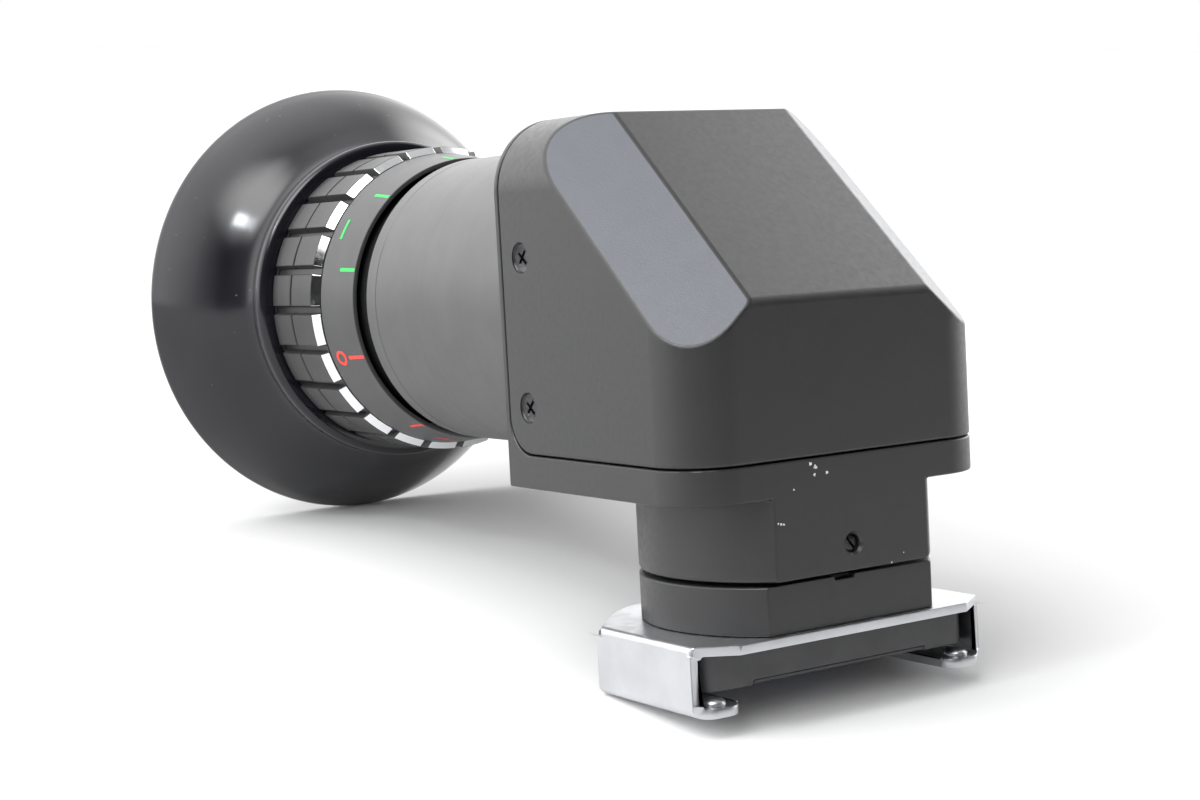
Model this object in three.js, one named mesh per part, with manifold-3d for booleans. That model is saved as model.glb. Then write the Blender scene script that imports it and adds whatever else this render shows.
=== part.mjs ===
// Right-angle viewfinder attachment: a channel shoe, a swivel neck, a prism housing,
// an eyepiece barrel with a dioptre ring, and a rubber eyecup.
// Millimetres. +Z up, +Y towards the eye, +X to the right seen from the front face.
// The origin is on the swivel axis, in the plane where the shoe's seat meets the camera.

import * as THREE from 'three';
import { mergeVertices } from 'three/addons/utils/BufferGeometryUtils.js';
import Module from 'manifold-3d';

const wasm = await Module();
wasm.setup();

// ---- driving dimensions ----
const GAP = 0.15;                 // clearance between neighbouring solids
const FINE = 48;                  // segments round the large turned pieces
const COARSE = 24;                // segments round the small turned pieces
const SCREW = 10;                 // segments round a screw

// shoe
const SHOE_HALF = 14.45;          // half of the bracket's outer width
const SHEET = 0.75;               // bracket sheet thickness
const PLATE_TOP = 3.75;
const LIP_BOTTOM = -1.7;
const LIP_INNER = 9.9;            // distance from the centre plane to a lip's inner edge
const PLATE_FRONT = -8.85;
const PLATE_REAR = 11.9;
const WALL_FRONT = -6.7;
const WALL_REAR = 5.9;
const LIP_FRONT = -7.9;
const SEAT_HALF = 13.05;
const SEAT_FRONT = -6.7;
const SEAT_REAR = 8.6;
const SEAT_RELIEF = 0.35;
const RIVET = { x: 12.2, y: -6.3, r: 0.85 };
const WINDOW_R = 5.5;
const WINDOW_T = 1.2;
const LIGHT_R = 5.6;              // clear radius of the light path
const COLLAR_SCREW = { x: 8.05, y: 4.65, r: 0.7, head: 1.15, sunk: 1.5 };

// swivel
const COLUMN_R = 11.6;
const COLLAR_TOP = 7.55;
const COLLAR_FLAT = -8.3;
const NECK_BOTTOM = 7.85;
const NECK_CHAMFER = 0.5;
const HUB_R = 7.0;
const HUB_TOP = 13.6;
const GRUB_Z = 9.95;
const GRUB_R = 0.68;
const CLICK = { y: 9.4, r: 0.75, z: 8.38 };

// housing
const HALF = 15;                  // half of the housing's width
const FRONT = -8.8;               // front face
const REAR = 16.95;               // rear face of the back plate
const UNDERSIDE = 14.15;
const SEAM = 16.85;
const TOP = 44.2;
const FRONT_CORNER = 4.7;
const TOP_CORNER = 6;
const WALL = 1.5;
const FLANGE_T = 0.7;             // visible edge of the back plate
const STEP_T = 1.6;               // part of the back plate inside the cover
const SLANT_LOW = { y: FRONT, z: 29.05 };
const SLANT_HIGH = { y: 8, z: 44.2 };
const FACET_INSET = 6.3;          // facet width over the slanted face
const FACET_DROP = 4.1;           // facet depth down the side, square to the slant
const REAR_CORNER = 3;
const AXIS_Z = 28.85;             // height of the eyepiece axis
const COVER_SCREW = { y: 13.3, zs: [20.8, 32.95], r: 0.6, head: 1.2 };

// optics
const PRISM_HALF = 7.2;
const OBJECTIVE_R = 5.4;

// eyepiece
const BARREL_R = 13.5;
const BARREL_STEP_Y = 43.8;
const BARREL_THIN_R = 12.6;
const BARREL_END = 56;
const BORE_R = 11.4;
const SPIGOT_R = 9.8;
const CELL_R = 11.2;
const LENS_R = 9.6;
const SCALE = { y0: 46.3, y1: 51.65, r0: 13.65, r1: 14.4 };
const GRIP = { y0: 51.85, y1: 61.4, r: 15.1, floor: 14.35, pads: 24, inner: 13.8 };
const HELICOID_R = 13.65;
const CLAMP_Z = 19.6;              // height of the two screws that hold the prism clamp
const SLEEVE = { r: 14.6, length: 2.6 }; // the rear sleeve of the grip ring that the eyecup sits on

// ---- helpers ----
function toSolid(geometry) {
  const bare = geometry.clone();
  bare.deleteAttribute('normal');
  bare.deleteAttribute('uv');
  const merged = mergeVertices(bare, 1e-4);
  const positions = merged.attributes.position.array;
  const index = Array.from(merged.index.array);
  const kept = [];
  let volume = 0;
  for (let i = 0; i < index.length; i += 3) {
    const [a, b, c] = index.slice(i, i + 3);
    if (a === b || b === c || a === c) continue;
    kept.push(a, b, c);
    const p = new THREE.Vector3().fromArray(positions, a * 3);
    const q = new THREE.Vector3().fromArray(positions, b * 3);
    const r = new THREE.Vector3().fromArray(positions, c * 3);
    volume += p.dot(q.cross(r));
  }
  if (volume < 0) kept.reverse();
  return new wasm.Manifold(new wasm.Mesh({
    numProp: 3,
    vertProperties: new Float32Array(positions),
    triVerts: new Uint32Array(kept),
  }));
}

function toGeometry(solid) {
  const mesh = solid.getMesh();
  const geometry = new THREE.BufferGeometry();
  geometry.setAttribute('position', new THREE.BufferAttribute(new Float32Array(mesh.vertProperties), 3));
  geometry.setIndex(new THREE.BufferAttribute(new Uint32Array(mesh.triVerts), 1));
  geometry.computeVertexNormals();
  return geometry;
}

const points = (list) => list.map(([x, y]) => new THREE.Vector2(x, y));

// turned about the vertical axis: the profile is [radius, z]
function turnZ(profile, segments = COARSE, x = 0, y = 0) {
  const geometry = new THREE.LatheGeometry(points(profile), segments);
  geometry.rotateX(Math.PI / 2);
  geometry.translate(x, y, 0);
  return toSolid(geometry);
}

// turned about the eyepiece axis: the profile is [radius, y]
function turnY(profile, segments = FINE) {
  const geometry = new THREE.LatheGeometry(points(profile), segments);
  geometry.translate(0, 0, AXIS_Z);
  return toSolid(geometry);
}

// turned about an axis that points along direction from a point: the profile is [radius, distance]
function turnAlong(profile, from, direction, segments = SCREW) {
  const geometry = new THREE.LatheGeometry(points(profile), segments);
  const up = new THREE.Vector3(0, 1, 0);
  const turn = new THREE.Quaternion().setFromUnitVectors(up, direction.clone().normalize());
  geometry.applyQuaternion(turn);
  geometry.translate(from.x, from.y, from.z);
  return toSolid(geometry);
}

function ring(inner, outer, low, high) {
  return [[inner, low], [outer, low], [outer, high], [inner, high], [inner, low]];
}

function disc(radius, low, high) {
  return [[0, low], [radius, low], [radius, high], [0, high]];
}

function prismZ(shape, low, high, curveSegments = 8) {
  const geometry = new THREE.ExtrudeGeometry(shape, {
    depth: high - low, bevelEnabled: false, curveSegments,
  });
  geometry.translate(0, 0, low);
  return toSolid(geometry);
}

// the shape is drawn in (x, z) and extruded along y
function prismY(shape, low, high, curveSegments = 8) {
  const geometry = new THREE.ExtrudeGeometry(shape, {
    depth: high - low, bevelEnabled: false, curveSegments,
  });
  geometry.rotateX(Math.PI / 2);
  geometry.translate(0, high, 0);
  return toSolid(geometry);
}

// the shape is drawn in (y, z) and extruded along x
function prismX(shape, low, high, curveSegments = 8) {
  const geometry = new THREE.ExtrudeGeometry(shape, {
    depth: high - low, bevelEnabled: false, curveSegments,
  });
  geometry.applyMatrix4(new THREE.Matrix4().set(
    0, 0, 1, low,
    1, 0, 0, 0,
    0, 1, 0, 0,
    0, 0, 0, 1,
  ));
  return toSolid(geometry);
}

function box(x0, x1, y0, y1, z0, z1) {
  const geometry = new THREE.BoxGeometry(x1 - x0, y1 - y0, z1 - z0);
  geometry.translate((x0 + x1) / 2, (y0 + y1) / 2, (z0 + z1) / 2);
  return toSolid(geometry);
}

const polygon = (list) => new THREE.Shape(points(list));
const union = (solids) => solids.reduce((sum, solid) => sum.add(solid));
const cut = (solid, tools) => tools.reduce((left, tool) => left.subtract(tool), solid);

const finder = new THREE.Group();

function put(name, solid, material) {
  const mesh = new THREE.Mesh(toGeometry(solid), material);
  mesh.name = name;
  finder.add(mesh);
}

const finish = (color, roughness, metalness, extra = {}) => new THREE.MeshStandardMaterial({
  color, roughness, metalness, ...extra,
});

const SILVER = finish(0xd0d2d5, 0.35, 0.9);
const STEEL = finish(0x8d9096, 0.35, 0.9);
const DARK_STEEL = finish(0x26272b, 0.4, 0.8);
const BLACK_PAINT = finish(0x2b2b2d, 0.55, 0.2);
const BLACK_ANODISED = finish(0x3c3c3f, 0.45, 0.5);
const BLACK_PLASTIC = finish(0x232325, 0.6, 0);
const RUBBER = finish(0x101014, 0.3, 0);
const BRASS = finish(0xb08d4a, 0.35, 0.9);
const GLASS = finish(0xdfe8ee, 0.05, 0, { transparent: true, opacity: 0.35 });

// ---- shoe ----
function plateOutline() {
  const cutX = 11.3;
  const cornerY = -6.6;
  const rearX = 7.4;
  return polygon([
    [-cutX, PLATE_FRONT], [cutX, PLATE_FRONT],
    [SHOE_HALF, cornerY], [SHOE_HALF, WALL_REAR - 0.7],
    [11.6, 8.3], [9.6, 10.3], [rearX, 11.5], [5.2, PLATE_REAR],
    [-5.2, PLATE_REAR], [-rearX, 11.5], [-9.6, 10.3], [-11.6, 8.3],
    [-SHOE_HALF, WALL_REAR - 0.7], [-SHOE_HALF, cornerY],
  ]);
}

// the channel's section in (x, z): plate, walls and lips with bent outer corners
function channelSection() {
  const bend = 1.1;
  const soft = 0.45;
  const low = LIP_BOTTOM;
  const shape = new THREE.Shape();
  shape.moveTo(-LIP_INNER, low);
  shape.lineTo(-SHOE_HALF + bend, low);
  shape.absarc(-SHOE_HALF + bend, low + bend, bend, -Math.PI / 2, -Math.PI, true);
  shape.lineTo(-SHOE_HALF, PLATE_TOP - bend);
  shape.absarc(-SHOE_HALF + bend, PLATE_TOP - bend, bend, Math.PI, Math.PI / 2, true);
  shape.lineTo(SHOE_HALF - bend, PLATE_TOP);
  shape.absarc(SHOE_HALF - bend, PLATE_TOP - bend, bend, Math.PI / 2, 0, true);
  shape.lineTo(SHOE_HALF, low + bend);
  shape.absarc(SHOE_HALF - bend, low + bend, bend, 0, -Math.PI / 2, true);
  shape.lineTo(LIP_INNER, low);
  shape.lineTo(LIP_INNER, low + SHEET);
  const innerX = SHOE_HALF - SHEET;
  shape.lineTo(innerX - soft, low + SHEET);
  shape.lineTo(innerX, low + SHEET + soft);
  shape.lineTo(innerX, PLATE_TOP - SHEET - soft);
  shape.lineTo(innerX - soft, PLATE_TOP - SHEET);
  shape.lineTo(-innerX + soft, PLATE_TOP - SHEET);
  shape.lineTo(-innerX, PLATE_TOP - SHEET - soft);
  shape.lineTo(-innerX, low + SHEET + soft);
  shape.lineTo(-innerX + soft, low + SHEET);
  shape.lineTo(-LIP_INNER, low + SHEET);
  return shape;
}

function lipOutline(side) {
  const outer = side * (SHOE_HALF + 1);
  const inner = side * LIP_INNER;
  return polygon([
    [outer, LIP_FRONT + 0.9], [side * (SHOE_HALF - 0.7), LIP_FRONT + 0.2],
    [side * (SHOE_HALF - 1.6), LIP_FRONT], [side * (LIP_INNER + 1.6), LIP_FRONT],
    [side * (LIP_INNER + 0.5), LIP_FRONT + 0.5], [inner, LIP_FRONT + 1.6],
    [inner, WALL_REAR - 0.6], [side * (LIP_INNER + 0.6), WALL_REAR], [outer, WALL_REAR],
  ]);
}

function shoeBracket() {
  const section = prismY(channelSection(), PLATE_FRONT - 1, PLATE_REAR + 1, 4);
  const wallTop = PLATE_TOP - SHEET - 0.45;
  const lipTop = LIP_BOTTOM + SHEET + 0.45;
  const keep = union([
    prismZ(plateOutline(), wallTop, PLATE_TOP + 1),
    box(-SHOE_HALF - 1, SHOE_HALF + 1, WALL_FRONT, WALL_REAR, lipTop - 0.01, wallTop + 0.01),
    prismZ(lipOutline(1), LIP_BOTTOM - 1, lipTop),
    prismZ(lipOutline(-1), LIP_BOTTOM - 1, lipTop),
  ]);
  const holes = [turnZ(disc(LIGHT_R + 0.4, 2, 5))];
  for (const side of [-1, 1]) {
    const stem = disc(RIVET.r * 0.6 + 0.1, -3, 0);
    holes.push(turnZ(stem, SCREW, side * RIVET.x, RIVET.y));
    for (const end of [-1, 1]) {
      const hole = disc(COLLAR_SCREW.r + 0.12, 2, 5);
      holes.push(turnZ(hole, SCREW, side * COLLAR_SCREW.x, end * COLLAR_SCREW.y));
    }
  }
  return cut(section.intersect(keep), holes);
}

function seatFrame() {
  const top = PLATE_TOP - SHEET - 0.05;
  const round = 1.1;
  const outline = polygon([
    [-SEAT_HALF + round, SEAT_FRONT], [SEAT_HALF - round, SEAT_FRONT],
    [SEAT_HALF, SEAT_FRONT + round], [SEAT_HALF, SEAT_REAR - round],
    [SEAT_HALF - round, SEAT_REAR], [-SEAT_HALF + round, SEAT_REAR],
    [-SEAT_HALF, SEAT_REAR - round], [-SEAT_HALF, SEAT_FRONT + round],
  ]);
  const block = prismZ(outline, 0, top);
  const tools = [
    turnZ(disc(WINDOW_R + 0.6, -1, WINDOW_T + 0.1), FINE),
    turnZ(disc(WINDOW_R - 0.6, -1, top + 1), FINE),
    box(-8.6, 8.6, SEAT_FRONT - 1, SEAT_FRONT + 0.35, -1, SEAT_RELIEF),
  ];
  for (const side of [-1, 1]) {
    const near = side * 10.3;
    const far = side * 12.7;
    tools.push(box(Math.min(near, far), Math.max(near, far), -4.9, 6.9, -1, 0.9));
    for (const end of [-1, 1]) {
      const x = side * COLLAR_SCREW.x;
      const y = end * COLLAR_SCREW.y;
      tools.push(turnZ(disc(COLLAR_SCREW.r + 0.12, -1, top + 1), SCREW, x, y));
      tools.push(turnZ(disc(COLLAR_SCREW.head + 0.12, -1, COLLAR_SCREW.sunk), SCREW, x, y));
    }
  }
  return cut(block, tools);
}

// a bowed strip whose middle stands just below the seat
function leafSpring(side) {
  const thickness = 0.2;
  const length = 11;
  const rise = 1.0;
  const steps = 8;
  const lower = [];
  const upper = [];
  for (let i = 0; i <= steps; i += 1) {
    const t = i / steps;
    const y = 1 + length * (t - 0.5);
    const z = 0.62 - rise * Math.sin(Math.PI * t);
    lower.push([y, z]);
    upper.unshift([y, z + thickness]);
  }
  const near = side * 10.5;
  const far = side * 12.5;
  return prismX(polygon([...lower, ...upper]), Math.min(near, far), Math.max(near, far));
}

function stopRivet(side) {
  const lipTop = LIP_BOTTOM + SHEET + 0.03;
  const { r } = RIVET;
  const profile = [
    [0, LIP_BOTTOM + 0.05], [r * 0.6, LIP_BOTTOM + 0.05], [r * 0.6, lipTop], [r, lipTop],
    [r, lipTop + 0.2], [r * 0.72, lipTop + 0.42], [0, lipTop + 0.5],
  ];
  return turnZ(profile, SCREW, side * RIVET.x, RIVET.y);
}

function swivelCollar() {
  const low = PLATE_TOP + 0.05;
  const outline = [
    [LIGHT_R, low], [COLUMN_R, low], [COLUMN_R, COLLAR_TOP], [HUB_R, COLLAR_TOP],
    [HUB_R, GRUB_Z - 0.9], [HUB_R - 0.5, GRUB_Z - 0.45], [HUB_R - 0.5, GRUB_Z + 0.45],
    [HUB_R, GRUB_Z + 0.9], [HUB_R, HUB_TOP], [LIGHT_R, HUB_TOP], [LIGHT_R, low],
  ];
  const tools = [
    box(-20, 20, -20, COLLAR_FLAT, 0, COLLAR_TOP + 0.1),
    box(-1.6, 0.3, COLLAR_FLAT - 1, COLLAR_FLAT + 0.6, COLLAR_TOP - 0.3, COLLAR_TOP + 0.1),
  ];
  for (const side of [-1, 1]) {
    for (const end of [-1, 1]) {
      const x = side * COLLAR_SCREW.x;
      const y = end * COLLAR_SCREW.y;
      tools.push(turnZ(disc(COLLAR_SCREW.r + 0.1, 0, 6.6), SCREW, x, y));
    }
  }
  for (let i = 0; i < 3; i += 1) {
    const angle = i * Math.PI / 2;
    const dimple = disc(0.35, COLLAR_TOP - 0.25, COLLAR_TOP + 0.1);
    tools.push(turnZ(dimple, 8, CLICK.y * Math.cos(angle), CLICK.y * Math.sin(angle)));
  }
  return cut(turnZ(outline, FINE), tools);
}

function collarScrew(side, end) {
  const { x, y, r, head, sunk } = COLLAR_SCREW;
  const profile = [
    [0, 0.4], [head, 0.4], [head, sunk - 0.1], [r, sunk - 0.1], [r, 6.4], [0, 6.4],
  ];
  return turnZ(profile, SCREW, side * x, end * y);
}

put('shoe_bracket', shoeBracket(), SILVER);
put('seat_frame', seatFrame(), BLACK_PLASTIC);
put('entrance_window', turnZ(disc(WINDOW_R, 0, WINDOW_T)), GLASS);
put('window_ring', turnZ(ring(WINDOW_R + 0.1, WINDOW_R + 0.5, 0.1, WINDOW_T)), DARK_STEEL);
put('swivel_collar', swivelCollar(), BLACK_PAINT);
for (const [side, word] of [[-1, 'left'], [1, 'right']]) {
  put(`leaf_spring_${word}`, leafSpring(side), STEEL);
  put(`stop_rivet_${word}`, stopRivet(side), SILVER);
  put(`collar_screw_${word}_front`, collarScrew(side, -1), DARK_STEEL);
  put(`collar_screw_${word}_rear`, collarScrew(side, 1), DARK_STEEL);
}

// ---- housing ----
// outline seen from above, with rounded front corners; inset moves every side inwards
function planOutline(inset, rear) {
  const half = HALF - inset;
  const front = FRONT + inset;
  const r = FRONT_CORNER - inset;
  const shape = new THREE.Shape();
  shape.moveTo(-half, rear);
  shape.lineTo(-half, front + r);
  shape.absarc(-half + r, front + r, r, Math.PI, 1.5 * Math.PI, false);
  shape.lineTo(half - r, front);
  shape.absarc(half - r, front + r, r, -Math.PI / 2, 0, false);
  shape.lineTo(half, rear);
  return shape;
}

// outline seen from behind in (x, z), with rounded top corners
function backOutline(inset, bottom) {
  const half = HALF - inset;
  const top = TOP - inset;
  const r = TOP_CORNER - inset;
  const shape = new THREE.Shape();
  shape.moveTo(-half, bottom);
  shape.lineTo(half, bottom);
  shape.lineTo(half, top - r);
  shape.absarc(half - r, top - r, r, 0, Math.PI / 2, false);
  shape.lineTo(-half + r, top);
  shape.absarc(-half + r, top - r, r, Math.PI / 2, Math.PI, false);
  return shape;
}

const slantDirection = new THREE.Vector3(0, SLANT_HIGH.y - SLANT_LOW.y, SLANT_HIGH.z - SLANT_LOW.z).normalize();
const slantNormal = new THREE.Vector3(0, -slantDirection.z, slantDirection.y);

// a large block beyond a plane, used to cut that side away
function beyond(point, normal) {
  const size = 80;
  const geometry = new THREE.BoxGeometry(size, size, size);
  geometry.translate(0, 0, size / 2);
  const from = new THREE.Vector3(0, 0, 1);
  geometry.applyQuaternion(new THREE.Quaternion().setFromUnitVectors(from, normal));
  geometry.translate(point.x, point.y, point.z);
  return toSolid(geometry);
}

function facetBeyond(side, inset) {
  const edge = new THREE.Vector3(side * (HALF - FACET_INSET), SLANT_LOW.y, SLANT_LOW.z);
  const across = new THREE.Vector3(side, 0, 0).multiplyScalar(FACET_DROP);
  const normal = slantNormal.clone().multiplyScalar(FACET_INSET).add(across).normalize();
  return beyond(edge.addScaledVector(normal, -inset), normal);
}

function coverForm(inset, bottom, rear) {
  const low = new THREE.Vector3(0, SLANT_LOW.y, SLANT_LOW.z).addScaledVector(slantNormal, -inset);
  return cut(prismZ(planOutline(inset, rear), bottom, TOP + 1), [
    cut(box(-40, 40, -40, 60, bottom - 1, TOP + 2), [prismY(backOutline(inset, bottom - 2), -41, 61)]),
    beyond(low, slantNormal),
    facetBeyond(-1, inset),
    facetBeyond(1, inset),
  ]);
}

// the part of the rear lower corner that the cover's round leaves to the base
function cornerFill(radius, low, rear) {
  const centreY = rear - radius;
  const centreZ = low + radius;
  const shape = new THREE.Shape();
  shape.moveTo(centreY, low);
  shape.absarc(centreY, centreZ, radius, -Math.PI / 2, 0, false);
  shape.lineTo(rear, low);
  return shape;
}

function countersink(side, z, clearance) {
  const { y, r, head } = COVER_SCREW;
  const from = new THREE.Vector3(side * (HALF + 0.2), y, z);
  const inwards = new THREE.Vector3(-side, 0, 0);
  const profile = [
    [0, -0.5], [head + clearance, -0.5], [head + clearance, 0.3],
    [r + clearance, 1.0], [r + clearance, 3.5], [0, 3.5],
  ];
  return turnAlong(profile, from, inwards);
}

const coverRear = REAR - FLANGE_T - GAP;
const coverLow = SEAM + GAP;

function prismCover() {
  const outer = coverForm(0, coverLow, coverRear);
  const inner = coverForm(WALL, coverLow - 5, coverRear + 5);
  const corner = prismX(cornerFill(REAR_CORNER, coverLow, coverRear), -HALF - 1, HALF + 1, 6);
  const tools = [inner, corner];
  for (const side of [-1, 1]) {
    for (const z of COVER_SCREW.zs) tools.push(countersink(side, z, 0.12));
  }
  return cut(outer, tools);
}

function baseCasting() {
  const stepFront = REAR - FLANGE_T - STEP_T;
  const insetStep = WALL + GAP;
  const column = turnZ([
    [0, NECK_BOTTOM], [COLUMN_R - NECK_CHAMFER, NECK_BOTTOM], [COLUMN_R, NECK_BOTTOM + NECK_CHAMFER],
    [COLUMN_R, UNDERSIDE + 1], [0, UNDERSIDE + 1],
  ], FINE);
  const flatCut = box(-20, 20, -20, FRONT, 0, 20);
  const body = union([
    prismZ(planOutline(0, REAR), UNDERSIDE, SEAM),
    prismY(backOutline(0, UNDERSIDE), REAR - FLANGE_T, REAR),
    prismY(backOutline(insetStep, UNDERSIDE + 0.5), stepFront, REAR - 0.1),
    column.subtract(flatCut),
    prismX(cornerFill(REAR_CORNER, SEAM - 0.01, REAR - FLANGE_T + 0.01), -HALF, HALF, 6),
  ]);
  const cornerKeep = cut(
    prismZ(planOutline(-1, REAR + 1), UNDERSIDE - 1, SEAM + 1),
    [prismZ(planOutline(0, REAR), UNDERSIDE - 2, SEAM + 2)],
  );
  const lugs = [];
  const tools = [cornerKeep];
  for (const side of [-1, 1]) {
    const near = side * 11.6;
    const far = side * (HALF - WALL - GAP);
    for (const z of COVER_SCREW.zs) {
      lugs.push(box(Math.min(near, far), Math.max(near, far), 11.5, stepFront + 0.1, z - 1.9, z + 1.9));
      tools.push(countersink(side, z, 0.12));
    }
  }
  tools.push(turnZ(disc(HUB_R + GAP, 0, HUB_TOP + 0.3), FINE));
  tools.push(turnZ(disc(OBJECTIVE_R + 1.1, HUB_TOP, SEAM + 1)));
  tools.push(turnY(disc(SPIGOT_R + GAP, 5, 30)));
  const inwards = new THREE.Vector3(0, 1, 0);
  const grubMouth = new THREE.Vector3(0, FRONT - 1, GRUB_Z);
  tools.push(turnAlong(disc(GRUB_R + 0.07, 0, 4), grubMouth, inwards));
  tools.push(turnZ(disc(CLICK.r + 0.1, NECK_BOTTOM - 1, 12.4), SCREW, 0, CLICK.y));
  return cut(body.add(union(lugs)), tools);
}

function coverScrew(side, z) {
  const { y, r, head } = COVER_SCREW;
  const from = new THREE.Vector3(side * (HALF - 0.05), y, z);
  const inwards = new THREE.Vector3(-side, 0, 0);
  const profile = [[0, 0], [head, 0], [head, 0.08], [r, 0.78], [r, 2.9], [0, 2.9]];
  return turnAlong(profile, from, inwards);
}

function grubScrew() {
  const from = new THREE.Vector3(0, FRONT + 0.25, GRUB_Z);
  const inwards = new THREE.Vector3(0, 1, 0);
  const tip = -(FRONT + 0.25) - HUB_R + 0.4;
  const profile = [[0, 0.5], [0.3, 0], [GRUB_R, 0], [GRUB_R, tip - 0.5], [0.3, tip], [0, tip]];
  return turnAlong(profile, from, inwards);
}

// a wire coil drawn as a plain sleeve with a bore
function clickSpring() {
  return turnZ(ring(0.3, CLICK.r - 0.1, CLICK.z + CLICK.r + 0.05, 12.2), SCREW, 0, CLICK.y);
}

function clickBall() {
  const geometry = new THREE.SphereGeometry(CLICK.r, 12, 8);
  geometry.translate(0, CLICK.y, CLICK.z);
  return toSolid(geometry);
}

function lensProfile(radius, low, high, bulge) {
  const steps = 4;
  const profile = [];
  for (let i = 0; i <= steps; i += 1) {
    const r = radius * i / steps;
    profile.push([r, low + bulge * (r / radius) ** 2]);
  }
  for (let i = steps; i >= 0; i -= 1) {
    const r = radius * i / steps;
    profile.push([r, high - bulge * (r / radius) ** 2]);
  }
  return profile;
}

function prismBlock() {
  const low = AXIS_Z - PRISM_HALF;
  const triangle = polygon([
    [-PRISM_HALF, low], [PRISM_HALF, low], [PRISM_HALF, low + 2 * PRISM_HALF],
  ]);
  return prismX(triangle, -PRISM_HALF, PRISM_HALF);
}

function prismSeat() {
  const top = AXIS_Z - PRISM_HALF - GAP;
  const block = box(-8.2, 8.2, FRONT + WALL + 0.25, 7.6, SEAM + 0.1, top);
  const tools = [
    turnZ(disc(OBJECTIVE_R + 1.1, 0, 18.0)),
    turnZ(disc(OBJECTIVE_R, 0, 30)),
  ];
  for (const side of [-1, 1]) {
    const hole = disc(0.62, -0.5, 2.3);
    tools.push(turnAlong(hole, new THREE.Vector3(side * 8.4, 0, CLAMP_Z), new THREE.Vector3(-side, 0, 0)));
  }
  return cut(block, tools);
}

function prismClamp() {
  const inner = 8.35;
  const outer = 8.85;
  const halfLength = 2.5;
  const rise = 0.3;
  const middle = AXIS_Z + rise;
  const strap = polygon([
    [-halfLength, middle - halfLength], [halfLength, middle + halfLength],
    [halfLength - 0.35, middle + halfLength + 0.35], [-halfLength - 0.35, middle - halfLength + 0.35],
  ]);
  const leg = polygon([
    [-halfLength, 18.2], [halfLength, 18.2], [halfLength, middle + halfLength + 0.1],
    [-halfLength, middle - halfLength + 0.1],
  ]);
  const legs = union([prismX(leg, -outer, -inner), prismX(leg, inner, outer)]);
  const holes = [-1, 1].map((side) => {
    const from = new THREE.Vector3(side * 9.5, 0, CLAMP_Z);
    return turnAlong(disc(0.62, 0, 3), from, new THREE.Vector3(-side, 0, 0));
  });
  return cut(prismX(strap, -outer, outer).add(legs), holes);
}

function clampScrew(side) {
  const from = new THREE.Vector3(side * 9.4, 0, CLAMP_Z);
  const profile = [[0, 0], [0.9, 0], [0.9, 0.45], [0.5, 0.45], [0.5, 2.9], [0, 2.9]];
  return turnAlong(profile, from, new THREE.Vector3(-side, 0, 0));
}

put('base_casting', baseCasting(), BLACK_PAINT);
put('prism_cover', prismCover(), BLACK_PAINT);
for (const [side, word] of [[-1, 'left'], [1, 'right']]) {
  put(`cover_screw_${word}_lower`, coverScrew(side, COVER_SCREW.zs[0]), DARK_STEEL);
  put(`cover_screw_${word}_upper`, coverScrew(side, COVER_SCREW.zs[1]), DARK_STEEL);
  put(`clamp_screw_${word}`, clampScrew(side), STEEL);
}
put('grub_screw', grubScrew(), DARK_STEEL);
put('click_ball', clickBall(), STEEL);
put('click_spring', clickSpring(), STEEL);
put('objective_cell', turnZ(ring(OBJECTIVE_R + 0.1, OBJECTIVE_R + 0.95, 14.1, 17.8)), BLACK_ANODISED);
put('objective_lens', turnZ(lensProfile(OBJECTIVE_R, 14.6, 17.2, 0.7)), GLASS);
put('prism', prismBlock(), GLASS);
put('prism_seat', prismSeat(), BLACK_PLASTIC);
put('prism_clamp', prismClamp(), STEEL);

// ---- barrel ----
function barrel() {
  const face = REAR + 0.1;
  const spigotStart = REAR - FLANGE_T - STEP_T - 1.5;
  const stepY = BARREL_STEP_Y;
  const tube = turnY([
    [SPIGOT_R - 1, spigotStart], [SPIGOT_R, spigotStart], [SPIGOT_R, face], [BARREL_R, face],
    [BARREL_R, stepY], [BARREL_THIN_R, stepY + 0.5], [BARREL_THIN_R, BARREL_END],
    [BORE_R, BARREL_END], [BORE_R, 38], [SPIGOT_R - 1, 36], [SPIGOT_R - 1, spigotStart],
  ]);
  const hole = turnAlong(disc(0.62, 0, 5), keyTop, keyDown);
  return tube.subtract(hole);
}

const KEY_Y = 50;
const keyTop = new THREE.Vector3(0, KEY_Y, AXIS_Z + BARREL_THIN_R + 0.5);
const keyDown = new THREE.Vector3(0, 0, -1);

function keyPin() {
  return turnAlong(disc(0.5, 0.7, 2.6), keyTop, keyDown);
}

put('barrel', barrel(), BLACK_ANODISED);
const nutRear = REAR - FLANGE_T - STEP_T - 0.1;
put('barrel_nut', turnY(ring(SPIGOT_R + 0.1, 11.1, nutRear - 1.3, nutRear), COARSE), BRASS);
put('field_stop', turnY(ring(5.2, SPIGOT_R - 1.1, 33.0, 33.8), COARSE), BLACK_ANODISED);
put('key_pin', keyPin(), STEEL);

// ---- lens cell: slides in the barrel without turning ----
const CELL_FRONT = 42.6;
const CELL_REAR = 61.3;
const FLANGE = { r: 13.4, y0: 59.7, y1: 60.7 };

function lensCell() {
  const shoulder = 8.6;
  const tube = turnY([
    [shoulder, CELL_FRONT], [CELL_R, CELL_FRONT], [CELL_R, FLANGE.y0], [FLANGE.r, FLANGE.y0],
    [FLANGE.r, FLANGE.y1], [CELL_R, FLANGE.y1], [CELL_R, CELL_REAR], [LENS_R + 0.1, CELL_REAR],
    [LENS_R + 0.1, CELL_FRONT + 1.2], [shoulder, CELL_FRONT + 1.2], [shoulder, CELL_FRONT],
  ]);
  const slot = box(-0.75, 0.75, KEY_Y - 2.8, KEY_Y + 2.8, AXIS_Z + 10.3, AXIS_Z + 12);
  return tube.subtract(slot);
}

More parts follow.
